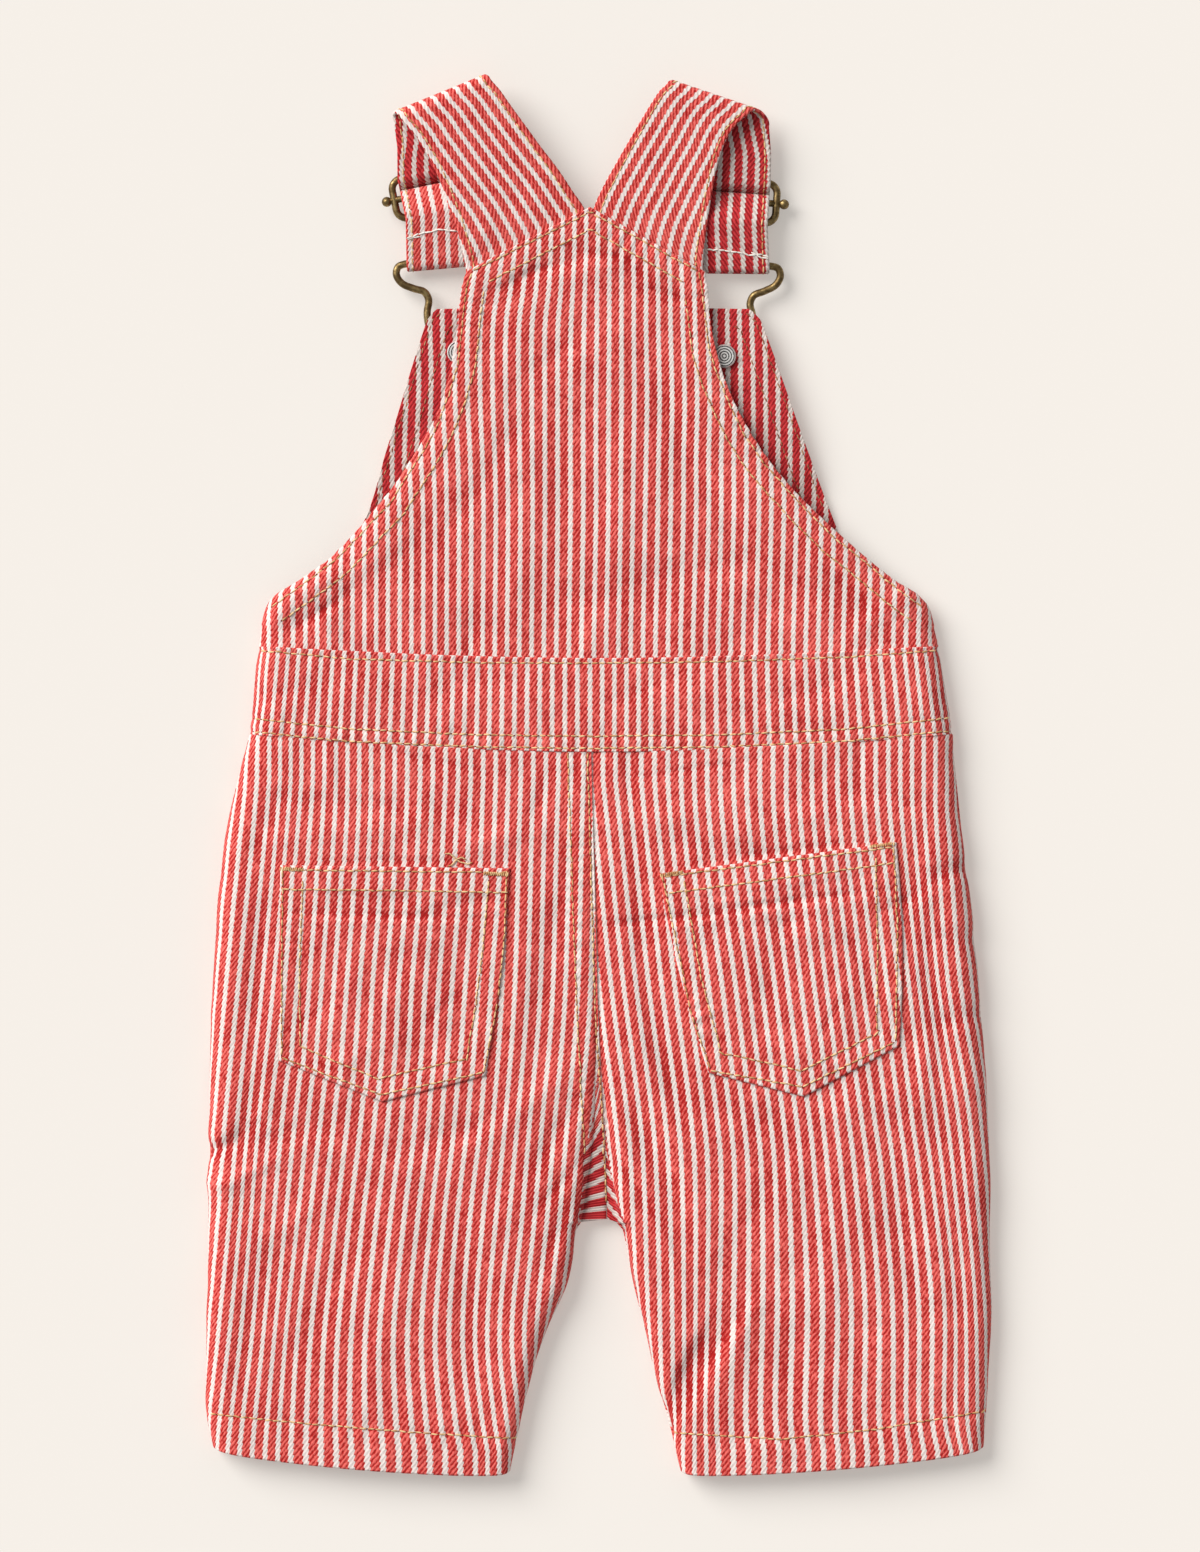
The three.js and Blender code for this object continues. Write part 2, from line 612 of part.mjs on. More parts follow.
// Slider: a rounded frame with two rails, and a cross bar that ends in balls outside it
function slider(name) {
  const buckle = BUCKLES.find((row) => row.name === name);
  const place = frameAt(buckle.barX, buckle.barY, buckle.barTurn);
  const outline = new THREE.Path();
  const [w, h, r] = [FRAME_HALF, RAIL_OFFSET, 4];
  outline.moveTo(w, -h + r);
  outline.lineTo(w, h - r);
  outline.absarc(w - r, h - r, r, 0, Math.PI / 2);
  outline.lineTo(-w + r, h);
  outline.absarc(-w + r, h - r, r, Math.PI / 2, Math.PI);
  outline.lineTo(-w, -h + r);
  outline.absarc(-w + r, -h + r, r, Math.PI, Math.PI * 1.5);
  outline.lineTo(w - r, -h);
  outline.absarc(w - r, -h + r, r, Math.PI * 1.5, Math.PI * 2);
  const points = outline.getSpacedPoints(44).slice(0, -1).map((p) => place(p.x, p.y, WIRE_Z));
  let solid = toSolid(closedWire(points, 44));
  const bar = new THREE.CylinderGeometry(WIRE - 0.05, WIRE - 0.05, 2 * KNOB_AT, 10);
  bar.rotateZ(Math.PI / 2);
  const moved = (geometry, across) => {
    const at = place(across, 0, WIRE_Z);
    geometry.rotateZ(THREE.MathUtils.degToRad(buckle.barTurn));
    geometry.translate(at.x, at.y, at.z);
    return toSolid(geometry);
  };
  solid = solid.add(moved(bar, 0));
  for (const across of [-KNOB_AT, KNOB_AT]) {
    solid = solid.add(moved(new THREE.SphereGeometry(1.8, 12, 8), across));
  }
  return toGeometry(solid);
}

// Hook: the strap goes round its straight bar, the button's shank sits in its lower loop
const HOOK_WIRE = table("half down", [
  [10, 0],
  [18.2, 0],
  [20.9, 0.9],
  [21.8, 3.8],
  [20.0, 7.2],
  [15.6, 9.6],
  [11.8, 11.2],
  [10.4, 14.4],
  [11.4, 19],
  [11.2, 24],
  [9.4, 29],
  [6.6, 34],
  [4.4, 37.6],
  [1.6, 39.8],
]);

function hook(name) {
  const buckle = BUCKLES.find((row) => row.name === name);
  const place = frameAt(buckle.hookX, buckle.hookY, buckle.hookTurn);
  const right = HOOK_WIRE.map((row) => place(row.half, row.down, HOOK_Z));
  const left = HOOK_WIRE.map((row) => place(-row.half, row.down, HOOK_Z)).reverse();
  return closedWire([...right, ...left], 64);
}

// Button: domed head on the floor side, shank through the bib, tack back on the body side
const BUTTON_PROFILE = table("radius z", [
  [0, 0],
  [6.4, 0],
  [8.0, 0.7],
  [8.3, 1.6],
  [7.6, 2.7],
  [6.6, 3.1],
  [2.2, 3.1],
  [2.2, 8.3],
  [4.5, 8.3],
  [4.62, 8.6],
  [4.2, 9.25],
  [3.0, 9.5],
  [0, 9.5],
]);
const BUTTON_HOLE = 2.6;

function button(name) {
  const buckle = BUCKLES.find((row) => row.name === name);
  const profile = BUTTON_PROFILE.map((row) => new THREE.Vector2(row.radius, row.z));
  const geometry = new THREE.LatheGeometry(profile, 24);
  geometry.rotateX(Math.PI / 2);
  geometry.scale(1, -1, 1);
  geometry.translate(buckle.buttonX, buckle.buttonY, 0);
  const solid = toSolid(geometry);
  return toGeometry(solid.volume() < 0 ? toSolid(flipped(geometry)) : solid);
}

function flipped(geometry) {
  const index = [...geometry.index.array];
  for (let f = 0; f < index.length; f += 3) [index[f + 1], index[f + 2]] = [index[f + 2], index[f + 1]];
  return geometry.clone().setIndex(index);
}

function frontBib() {
  let solid = toSolid(panel(frontBibRows, [3, 10, 3, 0], -1));
  for (const buckle of BUCKLES) {
    const hole = new THREE.CylinderGeometry(BUTTON_HOLE, BUTTON_HOLE, 12, 16);
    hole.rotateX(Math.PI / 2);
    hole.translate(buckle.buttonX, buckle.buttonY, 7);
    solid = solid.subtract(toSolid(hole));
  }
  return toGeometry(solid);
}

const dungarees = new THREE.Group();

function add(name, geometry) {
  const mesh = new THREE.Mesh(geometry);
  mesh.name = name;
  dungarees.add(mesh);
}

add("back_bib", panel(backBibRows, [3, 12, 3, 0], 1));
add("front_bib", frontBib());
add("waistband_back", panel(waistBackRows, [4, 14, 4, 0], 1));
add("waistband_front", panel(waistFrontRows, [4, 10, 4, 0], -1));
for (const side of ["left", "right"]) {
  add("back_" + side, panel(backRows[side], BACK_ZONES, 1));
  add("front_" + side, panel(frontRows[side], FRONT_ZONES, -1));
  add("strap_" + side, strap(side));
  add("slider_" + side, slider(side));
  add("hook_" + side, hook(side));
  add("button_" + side, button(side));
}
for (const row of POCKETS) add(row.name, pocket(row));

export default dungarees;
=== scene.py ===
# %% [markdown]
# Toddler dungaree shorts, laid flat on their front, in striped cotton twill.
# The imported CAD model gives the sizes. Each cloth panel is made again here as a finer wall with its
# folds, puckers and stitches, and it stands for the CAD node of the same name.
# Lengths in the tables are millimetres, as in the CAD source, and become metres in the meshes.

import math

import bpy
import numpy as np
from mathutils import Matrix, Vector
from mathutils.bvhtree import BVHTree


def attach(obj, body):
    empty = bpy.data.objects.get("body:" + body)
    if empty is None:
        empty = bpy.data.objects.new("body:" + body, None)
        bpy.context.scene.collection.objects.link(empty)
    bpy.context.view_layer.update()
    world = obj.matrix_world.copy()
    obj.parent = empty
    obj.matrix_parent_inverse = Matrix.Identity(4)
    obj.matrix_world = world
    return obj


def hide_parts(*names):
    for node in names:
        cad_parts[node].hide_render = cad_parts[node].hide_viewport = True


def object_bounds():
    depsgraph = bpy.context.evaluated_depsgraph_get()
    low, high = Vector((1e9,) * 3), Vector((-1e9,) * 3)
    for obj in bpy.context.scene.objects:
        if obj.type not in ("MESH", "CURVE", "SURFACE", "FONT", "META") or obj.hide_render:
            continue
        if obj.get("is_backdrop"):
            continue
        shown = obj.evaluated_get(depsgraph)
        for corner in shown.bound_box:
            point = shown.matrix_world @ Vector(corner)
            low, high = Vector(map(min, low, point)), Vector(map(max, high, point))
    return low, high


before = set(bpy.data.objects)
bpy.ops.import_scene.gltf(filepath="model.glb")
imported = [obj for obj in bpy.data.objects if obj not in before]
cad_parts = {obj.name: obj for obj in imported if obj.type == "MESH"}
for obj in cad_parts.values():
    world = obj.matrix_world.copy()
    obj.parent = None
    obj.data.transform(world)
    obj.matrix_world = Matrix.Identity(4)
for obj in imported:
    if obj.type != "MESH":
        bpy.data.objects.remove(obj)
cad_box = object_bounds()
bpy.ops.object.select_all(action="DESELECT")
MM = 0.001
PHOTO_MM = 0.38
PHOTO_HEIGHT = 1552
MIDDLE_X = 599
MIDDLE_Y = 776
print("CAD box", cad_box)

# %% [markdown]
# The photograph looks straight down on the garment. A long lens three metres up keeps the sides
# from leaning, and its view is exactly as tall as the photograph is at 0.38 mm a pixel.
# The floor is a light table: it glows a little by itself, so that the shadows on it stay pale.
# One large soft light stands to the upper left, and the shadows fall to the lower right.

# %% Camera, floor and light
EYE = 3.0
CLOTH_LEVEL = 0.006
SENSOR = 36
FLOOR_LEVEL = -0.0003
TOWARDS_WINDOW = (-1.1, 0.85, 1.0)
view_height = PHOTO_HEIGHT * PHOTO_MM * MM

bpy.ops.object.camera_add(location=(0.0004, 0.0, EYE), rotation=(0, 0, 0))
camera = bpy.context.object
camera.name = "overhead_camera"
camera.data.sensor_width = SENSOR
camera.data.lens = SENSOR * (EYE - CLOTH_LEVEL) / view_height
camera.data.clip_end = 20
bpy.context.scene.camera = camera
bpy.context.scene.view_settings.view_transform = "Standard"

bpy.ops.mesh.primitive_plane_add(size=8, location=(0, 0, FLOOR_LEVEL))
floor = bpy.context.object
floor.name = "cream_floor"
floor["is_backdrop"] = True
cream = bpy.data.materials.new("cream_paper")
cream.use_nodes = True
paper = cream.node_tree.nodes["Principled BSDF"]
paper.inputs["Base Color"].default_value = (0.505, 0.478, 0.447, 1)
paper.inputs["Emission Color"].default_value = (0.345, 0.325, 0.302, 1)
paper.inputs["Emission Strength"].default_value = 1.0
paper.inputs["Roughness"].default_value = 0.9
paper.inputs["Specular IOR Level"].default_value = 0.1
floor.data.materials.append(cream)

bpy.ops.object.light_add(type="SUN", location=(-1, 1, 2))
window = bpy.context.object
window.name = "soft_window"
window.data.energy = 4.15
window.data.angle = math.radians(42)
window.data.color = (1.0, 0.99, 0.975)
window.rotation_euler = Vector(TOWARDS_WINDOW).to_track_quat("Z", "Y").to_euler()

world = bpy.data.worlds.new("studio_air")
world.use_nodes = True
world.node_tree.nodes["Background"].inputs["Color"].default_value = (0.98, 0.99, 1.0, 1)
world.node_tree.nodes["Background"].inputs["Strength"].default_value = 0.38
bpy.context.scene.world = world
print("view", round(view_height, 4), "m high, lens", round(camera.data.lens, 1), "mm")

# %% [markdown]
# A material is a graph of small steps: this noise, times that number, into this socket. Written out
# node by node it is long and hard to follow. This helper adds a node, joins its inputs and hands back
# its output, so that a finish reads like a line of arithmetic.

# %% Material helper
class Nodes:
    """A short way to write a material's arithmetic."""

    def __init__(self, name):
        self.material = bpy.data.materials.new(name)
        self.material.use_nodes = True
        self.tree = self.material.node_tree
        self.bsdf = self.tree.nodes["Principled BSDF"]

    def add(self, kind, **settings):
        node = self.tree.nodes.new(kind)
        for key, value in settings.items():
            setattr(node, key, value)
        return node

    def put(self, value, socket):
        if isinstance(value, bpy.types.NodeSocket):
            self.tree.links.new(value, socket)
        else:
            socket.default_value = value

    def math(self, operation, *values):
        node = self.add("ShaderNodeMath", operation=operation)
        for value, socket in zip(values, node.inputs):
            self.put(value, socket)
        return node.outputs[0]

    def ramp(self, value, low, high, to_low=0.0, to_high=1.0, smooth=True):
        node = self.add("ShaderNodeMapRange", clamp=True)
        node.interpolation_type = "SMOOTHSTEP" if smooth else "LINEAR"
        for number, socket in zip((value, low, high, to_low, to_high), node.inputs):
            self.put(number, socket)
        return node.outputs[0]

    def mix(self, factor, first, second):
        node = self.add("ShaderNodeMix", data_type="RGBA")
        self.put(factor, node.inputs[0])
        self.put(first, node.inputs[6])
        self.put(second, node.inputs[7])
        return node.outputs[2]

    def noise(self, vector, scale, detail=2.0, rough=0.5):
        node = self.add("ShaderNodeTexNoise")
        self.put(vector, node.inputs["Vector"])
        node.inputs["Scale"].default_value = scale
        node.inputs["Detail"].default_value = detail
        node.inputs["Roughness"].default_value = rough
        return node.outputs[0]


print("material helper ready")

# %% [markdown]
# The cloth is a twill: its warp is dyed in red and left pale in turn, and the pale weft shows through
# the red as small slanted flecks. The stripes must follow each panel, so the pattern reads a UV map
# counted in stripes, and the slanted twill lines are worked out from the same map. The wrong side of
# the cloth is a deeper red. It shows inside the front bib, and the same deeper red is painted shade on
# the right strap's turned end and in the valley between the legs. The reds are also painted darker as
# shade in the troughs of the creases and in the low yarn beside each pale stripe.

# %% Striped twill
PITCH = 4.75
TWILL_PITCH = 1.3
TWILL_CLIMB = 0.82
TWILL_RUN = 0.57
PALE_EDGE = (0.165, 0.205)
LOW_YARN_SHADE = (0.22, 0.02, 0.015, 1)
WORN_REDS = ((0.365, 0.007, 0.006, 1), (0.85, 0.154, 0.130, 1))
WORN_CHALKS = ((0.66, 0.565, 0.53, 1), (0.81, 0.725, 0.68, 1))
# The wrong side's deeper red, used as well as painted shade in the valley between the legs and on the right
# strap's turned end
DEEP_REDS = ((0.26, 0.003, 0.006, 1), (0.62, 0.042, 0.046, 1))
DEEP_CHALKS = ((0.50, 0.42, 0.38, 1), (0.75, 0.66, 0.61, 1))


def striped_twill(name, reds, chalks):
    n = Nodes(name)
    uv = n.add("ShaderNodeUVMap", uv_map="cloth").outputs[0]
    split = n.add("ShaderNodeSeparateXYZ")
    n.put(uv, split.inputs[0])
    across = n.math("MULTIPLY", split.outputs[0], PITCH)
    along = n.math("MULTIPLY", split.outputs[1], PITCH)
    # Twill lines climb to the right at about 55 degrees, a little over a millimetre apart
    rise = n.math("MULTIPLY", across, TWILL_CLIMB)
    slant = n.math("SUBTRACT", rise, n.math("MULTIPLY", along, TWILL_RUN))
    line = n.math("SINE", n.math("MULTIPLY", slant, 2 * math.pi / TWILL_PITCH))
    # Yarns step the stripe's edge at each twill line
    step = n.math("MULTIPLY", line, 0.045)
    wander = n.math("MULTIPLY", n.math("SUBTRACT", n.noise(uv, 6.0, 1.0), 0.5), 0.07)
    counted = n.math("ADD", n.math("ADD", split.outputs[0], 0.5), n.math("ADD", step, wander))
    place = n.math("FRACT", counted)
    from_pale = n.math("ABSOLUTE", n.math("SUBTRACT", place, 0.5))
    pale = n.ramp(from_pale, *PALE_EDGE, 1.0, 0.0)
    # Flecks of weft: short, slanted, and stronger in some patches than in others
    run = n.math("MULTIPLY", across, TWILL_RUN)
    lengthwise = n.math("ADD", run, n.math("MULTIPLY", along, TWILL_CLIMB))
    stretch = n.add("ShaderNodeCombineXYZ")
    n.put(n.math("MULTIPLY", slant, 2.0), stretch.inputs[0])
    n.put(n.math("MULTIPLY", lengthwise, 0.6), stretch.inputs[1])
    fleck = n.math("SUBTRACT", n.noise(stretch.outputs[0], 0.95, 3.0, 0.7), 0.5)
    patch = n.math("SUBTRACT", n.noise(uv, 0.6, 3.0, 0.6), 0.5)
    broad = n.math("SUBTRACT", n.noise(uv, 0.13, 2.0, 0.5), 0.5)
    slub = n.add("ShaderNodeCombineXYZ")
    n.put(n.math("MULTIPLY", split.outputs[0], 5.5), slub.inputs[0])
    n.put(n.math("MULTIPLY", split.outputs[1], 1.7), slub.inputs[1])
    mottle = n.math("SUBTRACT", n.noise(slub.outputs[0], 1.0, 3.0, 0.65), 0.5)
    light = n.math("ADD", n.math("MULTIPLY", line, 0.5), n.math("MULTIPLY", fleck, 2.9))
    light = n.math("ADD", light, n.math("MULTIPLY", patch, 1.1))
    light = n.math("ADD", light, n.math("MULTIPLY", mottle, 2.4))
    light = n.math("ADD", n.math("ADD", light, n.math("MULTIPLY", broad, 0.6)), 0.47)
    # Painted shade: the reds are darkened in the troughs of the creases, as a point attribute gives it
    trough_shade = n.add("ShaderNodeAttribute", attribute_name="painted_crease_shade").outputs["Fac"]
    red_light = n.math("SUBTRACT", light, n.math("MULTIPLY", trough_shade, 0.65))
    red = n.mix(n.ramp(red_light, 0.0, 1.0, smooth=False), *reds)
    chalk = n.mix(n.ramp(light, 0.0, 1.0, smooth=False), *chalks)
    # Painted shade: the last red yarn beside a pale stripe sits low, and it is painted darker
    beside = n.ramp(n.math("ABSOLUTE", n.math("SUBTRACT", from_pale, 0.215)), 0.0, 0.035, 0.45, 0.0)
    red = n.mix(n.math("MULTIPLY", beside, n.ramp(line, -0.6, 0.8)), red, LOW_YARN_SHADE)
    n.put(n.mix(pale, red, chalk), n.bsdf.inputs["Base Color"])
    height = n.math("ADD", n.math("MULTIPLY", line, 0.3), n.math("MULTIPLY", fleck, 0.9))
    height = n.math("ADD", height, n.math("MULTIPLY", pale, 0.2))
    bump = n.add("ShaderNodeBump")
    bump.inputs["Strength"].default_value = 0.8
    bump.inputs["Distance"].default_value = 0.0002
    n.put(height, bump.inputs["Height"])
    n.put(bump.outputs[0], n.bsdf.inputs["Normal"])
    n.bsdf.inputs["Roughness"].default_value = 0.92
    n.bsdf.inputs["Specular IOR Level"].default_value = 0.15
    n.bsdf.inputs["Sheen Weight"].default_value = 0.08
    n.bsdf.inputs["Sheen Roughness"].default_value = 0.6
    return n.material


twill = striped_twill("striped_twill", WORN_REDS, WORN_CHALKS)
inside_and_shade_twill = striped_twill("striped_twill_inside_and_shade", DEEP_REDS, DEEP_CHALKS)
print("made", twill.name, "and", inside_and_shade_twill.name)

# %% [markdown]
# Every panel is drawn as cross sections. Each section rolls up from one edge, runs over the crown and
# rolls down to the other edge, with the same named sizes as in the CAD source. The rows between the
# table's rows ease through their neighbours.

# %% Sections
CLOTH = 1.2
BAND = 2.0
STRAP = 1.4
HALF_GAP = 0.05
SIDE_BACK = 5.0
SIDE_FRONT = 4.66
ROLL_BACK = 9
ROLL_FRONT = 6


def table(names, rows):
    return [dict(zip(names.split(), row)) for row in rows]


def smooth_rows(rows, spacing):
    out = []
    last = len(rows) - 1
    for i in range(last):
        a, b, c, d = rows[max(i - 1, 0)], rows[i], rows[i + 1], rows[min(i + 2, last)]
        steps = max(1, round(abs(c["y"] - b["y"]) / spacing))
        for s in range(steps):
            k = s / steps
            out.append(
                {
                    key: (2 * k**3 - 3 * k**2 + 1) * b[key]
                    + (k**3 - 2 * k**2 + k) * (c[key] - a[key]) / 2
                    + (3 * k**2 - 2 * k**3) * c[key]
                    + (k**3 - k**2) * (d[key] - b[key]) / 2
                    for key in b
                }
            )
    out.append(dict(rows[-1]))
    return out


def section_grid(rows, zones, face):
    """Points and inward normals of a panel. zones counts the columns of each stretch."""

    def col(key, default=0.0):
        return np.array([row.get(key, default) for row in rows])[:, None]

    first_x, last_x, crown = col("first_x"), col("last_x"), col("crown")
    way = np.sign(last_x - first_x)
    end_x = last_x - way * col("flat")
    end_z = col("last_z") + col("drop")
    turn = np.linspace(0, math.pi / 2, zones[0] + 1)[None, :]
    xs = [first_x + way * col("first_roll") * (1 - np.cos(turn))]
    zs = [col("first_z") + (crown - col("first_z")) * np.sin(turn)]
    k = np.linspace(0, 1, zones[1] + 1)[None, 1:]
    start = first_x + way * col("first_roll")
    stop = end_x - way * col("last_roll")
    xs.append(start + (stop - start) * k + col("lean") * (1 - np.abs(2 * k - 1)))
    zs.append(crown + col("dome") * np.sin(math.pi * k))
    turn = np.linspace(math.pi / 2, 0, zones[2] + 1)[None, 1:]
    xs.append(end_x - way * col("last_roll") * (1 - np.cos(turn)))
    zs.append(end_z + (crown - end_z) * np.sin(turn))
    if zones[3]:
        k = np.linspace(0, 1, zones[3] + 1)[None, 1:]
        xs.append(end_x + (last_x - end_x) * k)
        zs.append(end_z + (col("last_z") - end_z) * k)
    x, z = np.concatenate(xs, 1), np.concatenate(zs, 1)
    share = (x - first_x) / (last_x - first_x)
    y_last = np.array([row.get("yi", row["y"]) for row in rows])[:, None]
    y = col("y") + (y_last - col("y")) * share
    y = y + col("bow") * np.sin(math.pi * np.clip(share, 0, 1)) ** col("power", 1.0)
    low, high = np.minimum(first_x, last_x), np.maximum(first_x, last_x)
    peak_x = (low + high) / 2 + col("lean")
    side = np.where(x < peak_x, peak_x - low, high - peak_x)
    y = y + np.maximum(col("peak"), 0) * (1 - np.abs(x - peak_x) / side)
    dx, dz = np.gradient(x, axis=1), np.gradient(z, axis=1)
    length = np.hypot(dx, dz) + 1e-9
    inward = np.stack([way * face * dz / length, 0 * x, -way * face * dx / length], -1)
    return np.stack([x, y, z], -1), inward


print("sections ready")

# %% [markdown]
# Cloth that has been worn and washed is never smooth. Large creases are placed one by one, as
# soft troughs and ridges, and a slow unevenness lies over all of it. Both are heights in millimetres
# above a plain section, so the same creases can be used for the outside and the inside of the wall.

# %% Heights over the plain sections
def spot(px, py):
    """The place in millimetres of a pixel of the photograph."""
    return (px - MIDDLE_X) * PHOTO_MM, (MIDDLE_Y - py) * PHOTO_MM


def photo_x(x):
    return x / PHOTO_MM + MIDDLE_X


def photo_y(y):
    return MIDDLE_Y - y / PHOTO_MM


def cloud(x, y, size, seed):
    """Smooth noise between -1 and 1 with bumps of about this size."""
    values = np.random.default_rng(seed).uniform(-1, 1, (256, 256))
    gx, gy = x / size + 64, y / size + 64
    ix, iy = np.floor(gx).astype(int), np.floor(gy).astype(int)
    fx, fy = gx - ix, gy - iy
    fx, fy = fx * fx * (3 - 2 * fx), fy * fy * (3 - 2 * fy)
    ix, iy, jx, jy = ix % 256, iy % 256, (ix + 1) % 256, (iy + 1) % 256
    low = values[ix, iy] * (1 - fx) + values[jx, iy] * fx
    high = values[ix, jy] * (1 - fx) + values[jx, jy] * fx
    return low * (1 - fy) + high * fy


def creases(x, y, rows):
    """Soft troughs and ridges: photo place, direction, length, width and height of each."""
    total = np.zeros_like(x)
    for px, py, turn, length, wide, high in rows:
        cx, cy = spot(px, py)
        angle = math.radians(turn)
        along = (x - cx) * math.cos(angle) + (y - cy) * math.sin(angle)
        across = -(x - cx) * math.sin(angle) + (y - cy) * math.cos(angle)
        total += high * np.exp(-((along / length) ** 2) - (across / wide) ** 2)
    return total


def painted_crease_shade(x, y, rows):
    """How much painted shade darkens the reds in the troughs of the creases, 0 to 1."""
    troughs = [(*row[:5], row[5] * min(1, 2.0 / row[4])) for row in rows if row[5] < 0]
    depth = np.clip(-2.4 * creases(x, y, troughs), 0, 1)
    return depth * np.clip(0.9 + 0.7 * cloud(x, y, 3.0, 91), 0.2, 1.2)


def near_line(x, y, line):
    """Distance from a line of photo points, the length along it, and the side."""
    points = np.array([spot(*p) for p in line])
    best = np.full(x.shape, 1e9)
    along = np.zeros(x.shape)
    side = np.ones(x.shape)
    done = 0.0
    for a, b in zip(points[:-1], points[1:]):
        d = b - a
        size = float(np.hypot(*d)) + 1e-9
        k = np.clip(((x - a[0]) * d[0] + (y - a[1]) * d[1]) / size**2, 0, 1)
        ox, oy = x - a[0] - k * d[0], y - a[1] - k * d[1]
        far = np.hypot(ox, oy)
        nearer = far < best
        best = np.where(nearer, far, best)
        along = np.where(nearer, done + k * size, along)
        side = np.where(nearer, np.sign(d[0] * oy - d[1] * ox), side)
        done += size
    return best, along, side


def pucker(x, y, line, wave=5.0, reach=3.5, high=0.16, seed=1):
    """Small gathers that a row of stitches pulls into the cloth."""
    far, along, _ = near_line(x, y, line)
    uneven = cloud(along, far * 0.4, wave * 3, seed)
    ripple = np.sin(2 * math.pi * along / wave + 3.2 * uneven + 0.12 * far)
    return high * (0.55 + 0.45 * cloud(along, far, 14, seed + 9)) * ripple * np.exp(-((far / reach) ** 2))


def groove(x, y, line, wide=0.9, high=-0.35):
    """The shallow channel that tight stitches press along a line."""
    far, _, _ = near_line(x, y, line)
    return high * np.exp(-((far / wide) ** 2))


def band(x, y, line, wide, high, edge=0.6):
    """A strip of doubled cloth along a line, up to this far from it."""
    far, _, _ = near_line(x, y, line)
    k = np.clip((wide - far) / edge + 0.5, 0, 1)
    return high * k * k * (3 - 2 * k)


print("detail helpers ready")

# %% [markdown]
# A sheet of points becomes a closed wall: an outer and an inner layer joined round the rim, whose
# corners are eased so that a folded edge looks soft. The stripes are counted in each point's UV.

# %% Walls
def tighten(grid, inset=0.55):
    """Adds a row or column just inside each border, so that the edge can round off."""
    for axis in (0, 1):
        grid = np.moveaxis(grid, axis, 0)
        gap_a = np.linalg.norm(grid[1, :, :3] - grid[0, :, :3], axis=-1)[:, None] + 1e-9
        gap_b = np.linalg.norm(grid[-2, :, :3] - grid[-1, :, :3], axis=-1)[:, None] + 1e-9
        first = grid[0] + (grid[1] - grid[0]) * np.minimum(inset / gap_a, 0.6)
        last = grid[-1] + (grid[-2] - grid[-1]) * np.minimum(inset / gap_b, 0.6)
        grid = np.concatenate([grid[:1], first[None], grid[1:-1], last[None], grid[-1:]])
        grid = np.moveaxis(grid, 0, axis)
    return grid


def rim_mask(shape):
    mask = np.zeros(shape)
    mask[0] = mask[-1] = mask[:, 0] = mask[:, -1] = 1
    return mask[..., None]


def wall_object(name, outer, inner, stripe, along, other=None, cells=None, deep=None, marks=None):
    """other is a second stripe count for the cells, which lets stripes break off at a fold.

    The cells in deep get the deeper red as painted shade, as in the valley between the legs, and marks is
    painted shade in the troughs of soft creases, from 0 to 1 at each point.
    """
    rim = rim_mask(outer.shape[:2])
    eased_outer = outer + rim * (inner - outer) * 0.3
    eased_inner = inner + rim * (outer - inner) * 0.3
    rows, columns = outer.shape[:2]
    count = rows * columns
    index = np.arange(count).reshape(rows, columns)
    a, b, c, d = index[:-1, :-1], index[:-1, 1:], index[1:, 1:], index[1:, :-1]
    top = np.stack([a, b, c, d], -1).reshape(-1, 4)
    faces = [top, top[:, ::-1] + count]
    border = np.concatenate([index[0, :], index[1:, -1], index[-1, -2::-1], index[-2:0:-1, 0]])
    turn = np.roll(border, -1)
    faces.append(np.stack([turn, border, border + count, turn + count], -1))
    faces = np.concatenate(faces)
    points = np.concatenate([eased_outer.reshape(-1, 3), eased_inner.reshape(-1, 3)]) * MM
    corner = points[faces]
    volume = np.einsum("ij,ij->i", corner[:, 0], np.cross(corner[:, 1], corner[:, 2])).sum()
    volume += np.einsum("ij,ij->i", corner[:, 0], np.cross(corner[:, 2], corner[:, 3])).sum()
    if volume < 0:
        faces = faces[:, ::-1]
    mesh = bpy.data.meshes.new(name)
    mesh.from_pydata(points.tolist(), [], faces.tolist())
    layer = mesh.uv_layers.new(name="cloth")
    uv = np.tile(np.stack([stripe, along], -1).reshape(-1, 2), (2, 1))[faces]
    if other is not None:
        second = np.tile(np.stack([other, along], -1).reshape(-1, 2), (2, 1))[faces]
        chosen = np.zeros(len(faces), dtype=bool)
        chosen[: 2 * len(top)] = np.tile(cells.ravel(), 2)
        uv[chosen] = second[chosen]
    layer.data.foreach_set("uv", uv.astype(np.float32).ravel())
    mesh.polygons.foreach_set("use_smooth", np.ones(len(faces), dtype=bool))
    finish = np.zeros(len(faces), dtype=np.int32)
    finish[len(top) : 2 * len(top)] = 1
    # Painted shade: the outer cells in deep take the deeper red as well
    if deep is not None:
        finish[: len(top)][deep.ravel()] = 1
    # Painted shade: marks darkens the reds in the crease troughs
    if marks is not None:
        reds = mesh.attributes.new("painted_crease_shade", "FLOAT", "POINT")
        reds.data.foreach_set("value", np.tile(marks.ravel(), 2).astype(np.float32))
    mesh.materials.append(twill)
    mesh.materials.append(inside_and_shade_twill)
    mesh.polygons.foreach_set("material_index", finish)
    mesh.update()
    piece = bpy.data.objects.new(name, mesh)
    bpy.context.scene.collection.objects.link(piece)
    return piece


